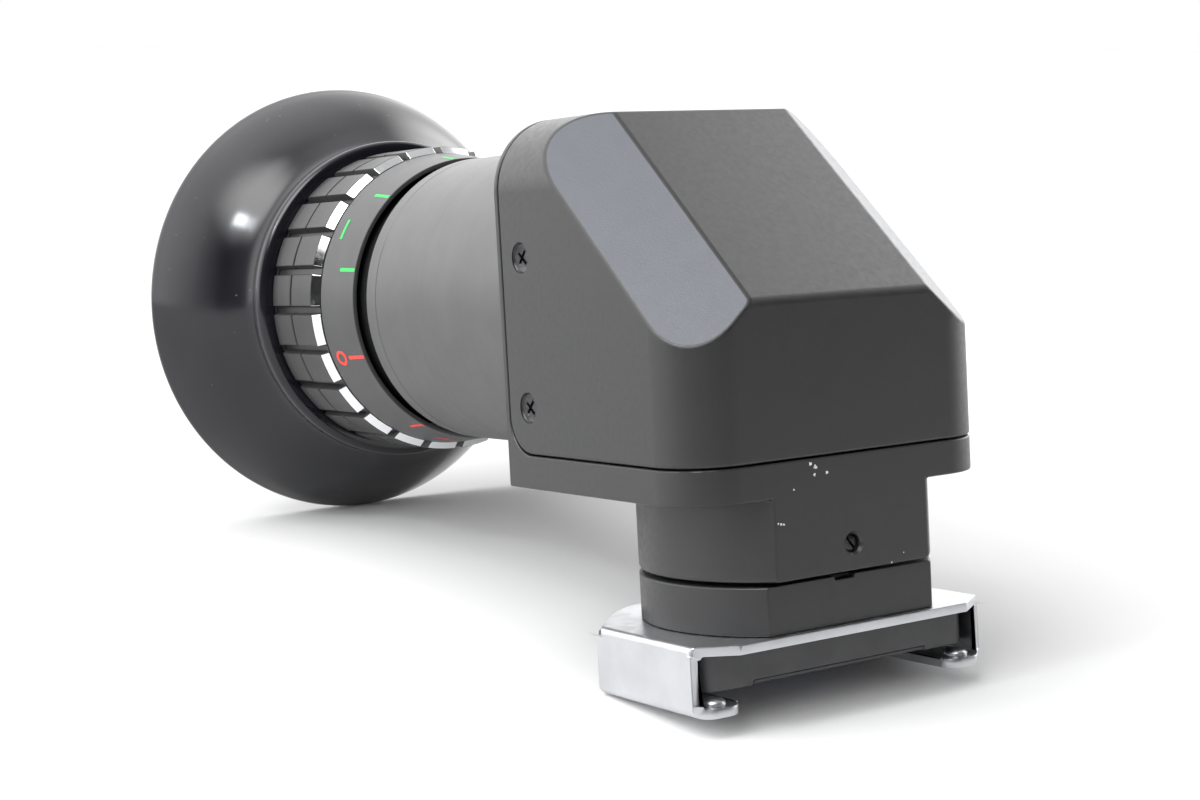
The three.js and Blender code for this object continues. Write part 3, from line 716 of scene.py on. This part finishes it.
def cover_screw(side, z, word):
    """A countersunk cross-head screw a little below the cover's side."""
    origin = (side * (HALF - 0.18), SCREW_Y, z)
    head = 1.16
    shank = 0.6
    end = 2.7
    rim = fillet([(head, 0), (head, 0.12), (shank, 0.72)], 0.06, 3)[:-1]
    profile = [(0, 0), *rim, (shank, 0.72), (shank, end), (0, end)]
    screw = turned("cover_screw", profile, "Z", (0, 0, 0), 64)
    screw.data.transform(aim((-side, 0, 0), origin))
    cross_recess(screw, origin, (-side, 0, 0), 0.78, 0.6, 0.3)
    screw.name = f"phillips_{word}"
    return place(screw, "housing", "dark_steel", DARK_STEEL, f"cover_screw_{word}")


def grub_screw():
    """A slotted set screw, a little below the neck's flat."""
    start = FRONT + 0.45
    profile = disc_profile(GRUB_R - 0.03, start, start + 1.9, 0.12)
    screw = turned("set_screw", profile, "Y", (0, 0, GRUB_Z), 48)
    half = 0.11
    slot = [(-1, -half), (1, -half), (1, half), (-1, half)]
    tool = slab("slot", slot, start - 1, start + 0.4, "Y")
    tool.data.transform(Matrix.Translation((0, 0, GRUB_Z)) @ Matrix.Rotation(0.9, 4, "Y"))
    combine(screw, tool)
    return place(screw, "housing", "dark_steel", DARK_STEEL, "grub_screw")


# bare spots in the paint of the base's front face: (x, z, size)
CHIPS = (
    (-3.9, 16.48, 0.17), (-3.45, 16.2, 0.2), (-3.55, 15.62, 0.15), (-2.35, 15.66, 0.15),
    (-5.6, 14.7, 0.09), (-7.2, 12.32, 0.1), (-6.95, 12.25, 0.12), (-6.7, 12.2, 0.1),
    (3.7, 7.98, 0.09), (4.95, 8.6, 0.06),
)


def chip(index, x, z, size):
    """A ragged bare spot, lying on the front face."""
    count = 9
    outline = []
    for i in range(count):
        angle = 2 * math.pi * i / count
        radius = size * (0.8 + 0.3 * math.sin(index * 2.1 + i * 2.4))
        outline.append((x + radius * math.cos(angle), z + radius * math.sin(angle)))
    spot = slab(f"paint_chip_{index:02d}", outline, FRONT - 0.012, FRONT + 0.05, "Y")
    return place(spot, "housing", "bracket_silver", BARE)


# ---- shoe ----
def mirrored(right):
    """An outline from its right half, in order, and the same points on the left."""
    return right + [(-x, y) for x, y in reversed(right)]


def plate_outline():
    """The bracket's plate from above: cut front corners and a rounded rear end."""
    half = SHOE_HIGH.x
    right = [
        (11.3, SHOE_LOW.y), (half, WALL_FRONT + 0.1), (half, WALL_REAR - 0.7),
        (11.6, 8.3), (9.6, 10.3), (7.4, 11.5), (5.2, SHOE_HIGH.y),
    ]
    radii = [0.5, 0.8, 0.8, 3, 3, 3, 3]
    return fillet(mirrored(right), radii + radii[::-1], 5)


def channel_outline():
    """The channel's section in (x, z), bent from sheet: tight bends at the top, wider ones below."""
    half = SHOE_HIGH.x
    low = SHOE_LOW.z
    inner = half - SHEET
    upper = 0.5
    lower = 0.8
    inside = 0.2
    right = [
        (half, PLATE_TOP), (half, low), (LIP_INNER, low),
        (LIP_INNER, low + SHEET), (inner, low + SHEET), (inner, PLATE_TOP - SHEET),
    ]
    radii = [upper, lower, 0, 0, inside, inside]
    return fillet(mirrored(right), radii + radii[::-1], 4)


def lip_outline(side):
    """A lip from above, with its rounded tongue in front."""
    half = SHOE_HIGH.x
    corners = [
        (half + 1, WALL_FRONT), (half - 0.1, WALL_FRONT), (half - 1.3, LIP_FRONT + 0.1),
        (LIP_INNER, LIP_FRONT), (LIP_INNER, WALL_REAR), (half + 1, WALL_REAR),
    ]
    return fillet([(side * x, y) for x, y in corners], [0, 0, 0.8, 1.6, 0.6, 0], 6)


def shoe_bracket():
    """The bent channel: its section along Y, kept only where plate, walls and lips are."""
    channel = slab("shoe_channel", channel_outline(), SHOE_LOW.y - 1, SHOE_HIGH.y + 1, "Y")
    half = SHOE_HIGH.x + 1
    low = SHOE_LOW.z
    wall_top = PLATE_TOP - SHEET - 0.25
    lip_top = low + SHEET + 0.25
    keep = slab("plate", plate_outline(), wall_top, PLATE_TOP + 1)
    wall = [(-half, WALL_FRONT), (half, WALL_FRONT), (half, WALL_REAR), (-half, WALL_REAR)]
    combine(keep, slab("walls", wall, lip_top - 0.3, wall_top + 0.3), "UNION")
    for side in (-1, 1):
        combine(keep, slab("lip", lip_outline(side), low - 1, lip_top), "UNION")
    combine(channel, keep, "INTERSECT")
    drill(channel, LIGHT_R + 0.4, (0, 0, -3), (0, 0, 1), 9, 0, 96)
    soften(channel, 0.09, 2, 40)
    return place(channel, "shoe", "bracket_silver", SILVER, "shoe_bracket", sharp=32)


def rivet(side, word):
    """A domed rivet standing on the lip, with its tail flush underneath."""
    low = SHOE_LOW.z + 0.05
    top = SHOE_LOW.z + SHEET
    rim = top + 0.18
    r = 0.95
    dome = 0.42
    tail = 0.5
    profile = [(0, low), (tail, low), (tail, top + 0.02), (r, top + 0.02), (r, rim)]
    profile += [(r * math.cos(a), rim + dome * math.sin(a)) for a in (0.35, 0.7, 1.05, 1.3)]
    profile += [(0, rim + dome)]
    pin = turned(f"rivet_{word}", profile, "Z", (side * RIVET_X, RIVET_Y, 0), 48)
    return place(pin, "shoe", "bracket_silver", SILVER, f"stop_rivet_{word}")


def seat_frame():
    """The frame that meets the camera: spring pockets, screw pits and the window's stepped hole."""
    half = SEAT_HIGH.x
    front = SEAT_LOW.y
    rear = SEAT_HIGH.y
    outline = fillet([(-half, front), (half, front), (half, rear), (-half, rear)], 1.3, 8)
    block = slab("seat", outline, 0, SEAT_HIGH.z)
    bar = 8.6
    relief = 0.35
    corners = [(-bar, front - 2), (bar, front - 2), (bar, front + relief), (-bar, front + relief)]
    combine(block, slab("bar_relief", fillet(corners, [0, 0, 0.3, 0.3], 4), -1, relief))
    pocket_front = -4.9
    pocket_rear = 6.9
    for side in (-1, 1):
        near, far = sorted((side * 10.3, side * 12.7))
        corners = [(near, pocket_front), (far, pocket_front), (far, pocket_rear), (near, pocket_rear)]
        combine(block, slab("pocket", fillet(corners, 0.3, 4), -1, 0.9))
    soften(block, 0.16, 3, 30, tidy=False)
    window_seat = 6.1
    window_hole = 4.95
    drill(block, window_seat, (0, 0, -1), (0, 0, 1), 3.4, 0, 96)
    drill(block, window_hole, (0, 0, -1), (0, 0, 1), 9, 0, 96)
    for side in (-1, 1):
        for end in (-1, 1):
            drill(block, 1.5, (side * 8.05, end * 4.65, -1), (0, 0, 1), 1.9, 0, 32)
    return place(block, "shoe", "seat_black", MOULDED, "seat_frame", sharp=32)


def swivel_collar():
    """The collar on the bracket, with its hub, front flat and index notch."""
    low = PLATE_TOP + 0.05
    top = COLLAR_HIGH.z
    hub = HUB_R - 0.05
    profile = fillet([
        (LIGHT_R, low), (COLUMN_R, low), (COLUMN_R, COLLAR_TOP),
        (hub, COLLAR_TOP), (hub, top), (LIGHT_R, top),
    ], [0, 0.12, 0.2, 0.1, 0.2, 0.1], 4)
    collar = turned("collar", profile, "Z", (0, 0, 0))
    flat = [(-20, -20), (20, -20), (20, COLLAR_FLAT), (-20, COLLAR_FLAT)]
    combine(collar, slab("flat", flat, 0, COLLAR_TOP + 1))
    left = -1.6
    right = 0.3
    floor_z = COLLAR_TOP - 0.3
    above = COLLAR_TOP + 1
    notch = [(left, floor_z), (right, floor_z), (right, above), (left, above)]
    combine(collar, slab("notch", notch, COLLAR_FLAT - 1, COLLAR_FLAT + 0.7, "Y"))
    soften(collar, 0.08, 3, 40, tidy=False)
    return place(collar, "shoe", "black_paint", PAINT, "swivel_collar", sharp=30)


# ---- barrel and lens cell ----
def barrel():
    """The tube, with a scribed line and a step; behind the step it is near-black, as painted shade for
    the gap under the scale ring.
    """
    front = REAR + 0.05
    rear = BARREL_HIGH.y
    step = BARREL_STEP
    spigot = 9.8
    thin = 12.6
    bore = 11.4
    front_bore = 8.8
    line = 41.95
    cut = 0.07
    profile = [
        (front_bore, front - 5), (spigot, front - 5), (spigot, front),
        (BARREL_R - 0.12, front), (BARREL_R, front + 0.12),
        (BARREL_R, line - cut), (BARREL_R - cut, line), (BARREL_R, line + cut),
        (BARREL_R, step - 0.14), (BARREL_R - 0.14, step), (thin + 0.1, step + 0.05), (thin, step + 0.2),
        (thin, rear - 0.2), (thin - 0.2, rear), (bore, rear), (bore, 38), (front_bore, 36),
    ]
    tube = turned("barrel_tube", profile)
    place(tube, "housing", "black_anodised", [ANODISED, RECESS_PAINTED_SHADE], "barrel", sharp=24)
    # faces behind the step take the near-black painted shade
    for face in tube.data.polygons:
        face.material_index = 1 if face.center.y / MM > step - 0.05 else 0
    return tube


def lens(name, node, bulge):
    """A lens with both faces bulging, in the space of its CAD node."""
    low, high = mm_box(node)
    steps = 24
    parts = [i / steps for i in range(steps + 1)]
    profile = [(high.x * t, low.y + bulge * t * t) for t in parts]
    profile += [(high.x * t, high.y - bulge * t * t) for t in reversed(parts)]
    return place(turned(name, profile), "cell", "glass", GLASS, node, sharp=30)


def lens_cell():
    """The tube that holds the eyepiece's lenses, with the flange that the ring moves it by."""
    front = CELL_LOW.y
    rear = CELL_HIGH.y
    flange = CELL_HIGH.x
    flange_front = 59.7
    flange_rear = 60.7
    r = 11.2
    bore = 9.7
    stop = 8.6
    stop_rear = front + 1.2
    profile = [
        (stop, front), (r, front), (r, flange_front), (flange, flange_front), (flange, flange_rear),
        (r, flange_rear), (r, rear - 0.25), (r - 0.25, rear), (bore + 0.2, rear), (bore, rear - 0.2),
        (bore, stop_rear), (stop, stop_rear),
    ]
    tube = turned("cell_tube", profile)
    return place(tube, "cell", "black_anodised", ANODISED, "lens_cell", sharp=24)


def spanner_ring(name, node, body, inner, outer, low, high):
    """A threaded ring with two spanner slots in its rear face."""
    piece = turned(name, ring_profile(inner, outer, low, high, 0.12), segments=128)
    half = 0.6
    below = AXIS_Z - 30
    above = AXIS_Z + 30
    slot = [(-half, below), (half, below), (half, above), (-half, above)]
    combine(piece, slab("slots", slot, high - 0.5, high + 1, "Y"))
    return place(piece, body, "dark_steel", DARK_STEEL, node)


# ---- dioptre ring ----
def scale_radius(y):
    """The scale cone's radius at a place along the barrel."""
    return SCALE_R0 + (SCALE_R1 - SCALE_R0) * (y - SCALE_START) / (SCALE_END - SCALE_START)


def scale_ring():
    """The conical band in front of the grip."""
    bore = SCALE_R0 - 0.45
    rear_bore = 13.8
    profile = fillet([
        (bore, SCALE_START), (SCALE_R0, SCALE_START), (SCALE_R1, SCALE_END),
        (rear_bore, SCALE_END), (rear_bore, 50.4), (bore, 50.0),
    ], [0.1, 0.12, 0.1, 0, 0, 0], 3)
    band = turned("scale_band", profile)
    return place(band, "dioptre_ring", "black_anodised", ANODISED_SCALE, "scale_ring", sharp=24)


def on_scale(angle, y, lift):
    """A point on the scale cone; the angle runs from -X towards +Z."""
    a = math.radians(angle)
    r = scale_radius(y) + lift
    return -r * math.cos(a), y, AXIS_Z + r * math.sin(a)


def scale_patch(name, strips, material):
    """Raised painted marks: each strip is two lines of (angle, y) points, filled between.
    A strip whose lines end where they start is a closed ring."""
    verts = []
    faces = []
    for one, two in strips:
        start = len(verts)
        count = len(one)
        for lift in (0.03, -0.05):
            verts += [on_scale(a, y, lift) for a, y in one]
            verts += [on_scale(a, y, lift) for a, y in two]
        low = 2 * count
        for i in range(count - 1):
            a, b = start + i, start + i + 1
            c, d = a + count, b + count
            faces += [(a, b, d, c), (a + low, c + low, d + low, b + low)]
            faces += [(a, a + low, b + low, b), (c, d, d + low, c + low)]
        if one[0] != one[-1]:
            last = start + count - 1
            faces += [(start, start + count, start + count + low, start + low)]
            faces += [(last, last + low, last + count + low, last + count)]
    marks = new_object(name, verts, faces)
    weld(marks)
    return place(marks, "dioptre_ring", "black_anodised", material, sharp=40, weighted=False)


MARK = 0.34                        # width of a painted line
TICK_START = 46.35


def tick(angle, end):
    """A mark along the barrel."""
    start = TICK_START
    half = math.degrees(MARK / 2 / scale_radius(start))
    ys = [start + (end - start) * i / 3 for i in range(4)]
    return [(angle - half, y) for y in ys], [(angle + half, y) for y in ys]


def dash(start, end, y):
    """A mark round the barrel."""
    angles = [start + (end - start) * i / 8 for i in range(9)]
    return [(a, y - MARK / 2) for a in angles], [(a, y + MARK / 2) for a in angles]


def ring_mark(angle, y, radius):
    """A small ring drawn on the cone."""
    steps = 32

    def loop(r):
        spots = []
        for i in range(steps + 1):
            t = 2 * math.pi * (i % steps) / steps
            turn = math.degrees(r * math.sin(t) / scale_radius(y))
            spots.append((angle + turn, y + r * math.cos(t)))
        return spots

    return loop(radius - 0.15), loop(radius + 0.15)


def scale_marks():
    """Green marks for one direction, red ones with the zero ring for the other."""
    green = [tick(82.7, 48.7), tick(48.2, 48.7), dash(27.1, 35.5, 50.0), tick(14.7, 48.7)]
    red = [ring_mark(-20.3, 50.0, 0.62), tick(-20.3, 48.8), tick(-59.3, 48.6), dash(-81.0, -73.0, 48.9)]
    scale_patch("green_marks", green, GREEN)
    scale_patch("red_marks", red, RED)


def grip_ring():
    """Pads parted by lengthwise grooves and one thin groove round the middle.
    Their front chamfers are bright-cut."""
    depth = PAD_R - PAD_FLOOR
    half = ((-0.432, depth), (-0.385, 0.08), (-0.377, 0.02), (-0.365, 0), (-0.12, 0))
    section = [*half, *((-offset, drop) for offset, drop in reversed(half))]
    pitch = 2 * math.pi / PADS
    angles = []
    drops = []
    for i in range(PADS):
        centre = math.pi - math.radians(PAD_PHASE) + i * pitch
        angles += [centre + offset * pitch for offset, _ in section]
        drops += [drop for _, drop in section]

    def limit(step, radius, distance):
        return min(radius, PAD_R - drops[step]) if distance <= PAD_REAR else radius

    top = PAD_R
    bore = 13.8
    sleeve = 14.6
    sleeve_end = 64.0
    groove = [(top, PAD_GROOVE - 0.24), (top - 0.05, PAD_GROOVE - 0.17), (top - 0.3, PAD_GROOVE - 0.08)]
    groove += [(r, 2 * PAD_GROOVE - y) for r, y in reversed(groove)]
    profile = [
        (bore, PAD_FRONT), (14.36, PAD_FRONT), (14.42, PAD_FRONT + 0.02), (top - 0.04, PAD_FRONT + 0.6),
        (top, PAD_FRONT + 0.68), *groove, (top, PAD_REAR - 0.5), (top - 0.06, PAD_REAR - 0.28),
        (top - 0.22, PAD_REAR - 0.08), (top - 0.4, PAD_REAR), (sleeve, PAD_REAR + 0.01),
        (sleeve, sleeve_end - 0.1), (sleeve - 0.1, sleeve_end), (bore, sleeve_end),
    ]
    grip = turned("knurled_grip", profile, angles=angles, limit=limit)
    place(grip, "dioptre_ring", "grip_metal", [ANODISED_GRIP, CHROME], "grip_ring", sharp=20)
    for face in grip.data.polygons:
        y = face.center.y / MM
        front = PAD_FRONT + 0.02 < y < PAD_FRONT + 0.6 and face.normal.y < -0.5
        face.material_index = 1 if front else 0
    return grip


def spline(a, b, c, d, t):
    """A Catmull-Rom spline's value between b and c."""
    slope = (c - a) * t
    square = (2 * a - 5 * b + 4 * c - d) * t * t
    cube = (3 * b - a - 3 * c + d) * t ** 3
    return 0.5 * (2 * b + slope + square + cube)


def curve_through(points):
    """A smooth curve through the points."""
    steps = 6
    found = []
    ends = [points[0], *points, points[-1]]
    for four in zip(ends, ends[1:], ends[2:], ends[3:]):
        for k in range(steps):
            found.append(tuple(spline(*values, k / steps) for values in zip(*four)))
    return found + [points[-1]]


def eyecup():
    """Front bead, bell-shaped wall and rounded rim, then the bowl back down to the eye lens."""
    r = CUP_HIGH.x
    bead = 16.28
    grip = 14.75
    hole = 12.2
    corners = [(grip, 61.55), (bead, 61.55), (bead, 63.35), (15.95, 63.6)]
    front = fillet(corners, [0, 0.75, 0.75, 0], 6)[:-1]
    wall = curve_through([
        (15.95, 63.75), (16.35, 64.6), (17.35, 65.9), (18.6, 67.4), (19.75, 69.0), (20.8, 70.7),
        (r - 0.87, 72.3), (r - 0.3, 73.5), (r, 74.3), (r - 0.22, 74.92), (r - 0.75, 75.2),
    ])
    bowl = curve_through([
        (r - 1.25, 75.0), (20.5, 73.5), (19.4, 71.7), (18.1, 70.1),
        (16.7, 68.6), (15.3, 67.1), (14.3, 66.0), (13.95, 65.4),
    ])
    seat = fillet([(13.95, 65.2), (hole, 65.2), (hole, 64.2), (grip, 64.2)], [0, 0.3, 0.1, 0], 4)[1:]
    cup = turned("flared_eyecup", front + wall + bowl + seat, segments=256)
    return place(cup, "dioptre_ring", "eyecup_rubber", RUBBER, "eyecup", sharp=50, weighted=False)


# ---- the whole object ----
def build():
    """Makes every piece, then dresses the CAD pieces that stay."""
    prism_cover()
    base_casting()
    for side, word in ((-1, "left"), (1, "right")):
        for z, level in zip(SCREW_ZS, ("lower", "upper")):
            cover_screw(side, z, f"{word}_{level}")
        rivet(side, word)
    grub_screw()
    for index, spot in enumerate(CHIPS):
        chip(index, *spot)
    shoe_bracket()
    seat_frame()
    swivel_collar()
    barrel()
    lens_cell()
    lens("eye_lens_glass", "eye_lens", 1.3)
    lens("field_lens_glass", "field_lens", 1.0)
    spanner_ring("lens_retainer", "cell_ring", "cell", 8.2, 9.6, 59.6, 61.0)
    spanner_ring("grip_retainer", "ring_retainer", "dioptre_ring", 11.5, 13.75, 60.9, 62.2)
    scale_ring()
    scale_marks()
    grip_ring()
    eyecup()
    dress_frame()


def dress_frame():
    """Gives the CAD pieces that stay their finishes."""
    sides = ("left", "right")
    collar_screws = [f"collar_screw_{side}_{end}" for side in sides for end in ("front", "rear")]
    steel = [f"{piece}_{side}" for piece in ("leaf_spring", "clamp_screw") for side in sides]
    steel += ["click_ball", "click_spring", "prism_clamp", "key_pin"]
    for material, names in (
        (GLASS, ["entrance_window", "objective_lens", "prism"]),
        (DARK_STEEL, ["window_ring", *collar_screws]),
        (STEEL, steel),
        (ANODISED, ["objective_cell", "field_stop", "lens_spacer"]),
        (MOULDED, ["prism_seat"]),
        (BRASS, ["barrel_nut", "helicoid_ring"]),
    ):
        for name in names:
            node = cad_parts[name]
            node.data.materials.clear()
            node.data.materials.append(material)
            for face in node.data.polygons:
                face.material_index = 0


# ---- camera, floor and light ----
FLOOR_NORMAL = Vector((0, -0.1169, 0.9931))     # it stands on its shoe and its eyecup
REST = Vector((0, 5.9, -1.75)) * MM             # a hair below the rear ends of the lips
BACKDROP = 1.0                     # how bright the sweep looks
DOME = 0.5                         # how bright it is as a light on matt surfaces
ROOM = 0.03                        # what each glow adds in every direction
GLOWS = (                          # (direction, cosine where it starts, where it is full, strength)
    ((-0.42, 0.9, 0.1), 0.15, 0.7, 1.6),        # behind on the left: side wall and barrel
    ((0, 1, 0.2), -0.05, 0.35, 0.9),            # behind
    ((-0.1, -0.05, 1), 0.72, 0.98, 0.55),       # overhead
    ((-0.5, -0.30, 0.78), 0.88, 0.995, 7.0),    # high on the left: the facet
    ((0.95, 0.1, 0.38), 0.8, 0.93, 3.2),        # low on the right: the slanted face
)


def camera():
    """The photograph's view: from the front left, a little above the barrel's axis."""
    eye = Vector((-103.46, -132.79, 34.97)) * MM
    target = Vector((-8.3433, 13.4696, 21.3335)) * MM
    roll = math.radians(-3.10377)
    lens_data = bpy.data.cameras.new("camera")
    lens_data.sensor_width = 36
    lens_data.lens = 63.43
    lens_data.shift_x = 0.0037
    lens_data.shift_y = -0.0048
    lens_data.clip_start = 0.01
    holder = bpy.data.objects.new("camera", lens_data)
    turn = (target - eye).to_track_quat("-Z", "Y").to_matrix().to_4x4()
    holder.matrix_world = Matrix.Translation(eye) @ turn @ Matrix.Rotation(roll, 4, "Z")
    bpy.context.scene.collection.objects.link(holder)
    bpy.context.scene.camera = holder


def floor():
    """A pale sheet that touches the shoe and the eyecup."""
    size = 3
    corners = [(-size, -size, 0), (size, -size, 0), (size, size, 0), (-size, size, 0)]
    sheet = new_object("floor", corners, [(0, 1, 2, 3)])
    sheet.data.transform(aim(FLOOR_NORMAL, REST))
    if sheet.data.polygons[0].normal.z < 0:
        sheet.data.flip_normals()
    pale = Finish("paper_white", (0.80, 0.80, 0.80), 0.9, 0.0, 0.2)
    pale.tint(pale.noise(40, 2), 0.99, 1.01)
    sheet.data.materials.append(pale.material)


def lamp(direction, distance, size, radiance, color):
    """A small square lamp, seen as the highlight on the eyecup."""
    light = bpy.data.lights.new("lamp", "AREA")
    light.shape = "SQUARE"
    light.size = size
    light.energy = radiance * math.pi * size * size
    light.color = color
    holder = bpy.data.objects.new("lamp", light)
    towards = Vector(direction).normalized()
    holder.location = Vector((0, 25, 25)) * MM + towards * distance
    holder.rotation_euler = towards.to_track_quat("Z", "Y").to_euler()
    bpy.context.scene.collection.objects.link(holder)


def glow(nodes, links, coords, direction, low, high, strength):
    """Light from the part of the surroundings round one direction."""
    dot = nodes.new("ShaderNodeVectorMath")
    dot.operation = "DOT_PRODUCT"
    dot.inputs[1].default_value = Vector(direction).normalized()
    links.new(coords.outputs["Generated"], dot.inputs[0])
    fade = nodes.new("ShaderNodeMapRange")
    fade.interpolation_type = "SMOOTHSTEP"
    fade.inputs["From Min"].default_value = low
    fade.inputs["From Max"].default_value = high
    fade.inputs["To Max"].default_value = strength
    links.new(dot.outputs["Value"], fade.inputs["Value"])
    return fade.outputs["Result"]


def broad_light(name, direction, spread, strength):
    """A broad softbox, far enough away to light the whole floor evenly; spread is in degrees."""
    light = bpy.data.lights.new(name, "SUN")
    light.energy = strength
    light.angle = math.radians(spread)
    holder = bpy.data.objects.new(name, light)
    holder.visible_glossy = False
    holder.rotation_euler = Vector(direction).to_track_quat("Z", "Y").to_euler()
    bpy.context.scene.collection.objects.link(holder)


def surroundings():
    """A plain white sweep to the camera and to matt surfaces; glossy ones mirror the glows."""
    world = bpy.data.worlds.new("studio")
    bpy.context.scene.world = world
    world.use_nodes = True
    nodes = world.node_tree.nodes
    links = world.node_tree.links
    coords = nodes.new("ShaderNodeTexCoord")
    total = None
    for direction, low, high, strength in GLOWS:
        part = glow(nodes, links, coords, direction, low, high, strength)
        add = nodes.new("ShaderNodeMath")
        add.operation = "ADD"
        add.inputs[1].default_value = ROOM
        links.new(part, add.inputs[0])
        if total is not None:
            links.new(total, add.inputs[1])
        total = add.outputs["Value"]
    path = nodes.new("ShaderNodeLightPath")
    for ray, level in (("Is Diffuse Ray", DOME), ("Is Camera Ray", BACKDROP)):
        seen = nodes.new("ShaderNodeMix")
        seen.inputs["B"].default_value = level
        links.new(path.outputs[ray], seen.inputs["Factor"])
        links.new(total, seen.inputs["A"])
        total = seen.outputs["Result"]
    links.new(total, nodes["Background"].inputs["Strength"])
    nodes["Background"].inputs["Color"].default_value = (1, 1, 1, 1)


build()
camera()
floor()
surroundings()
broad_light("overhead", (-0.3, 0.05, 1), 44, 1.6)
broad_light("left_wall", (-1, -0.1, 0.55), 70, 3.0)
lamp((-0.80, -0.144, 0.73), 0.6, 0.06, 36.0, (0.9, 0.95, 1))
bpy.context.scene.view_settings.view_transform = "Standard"
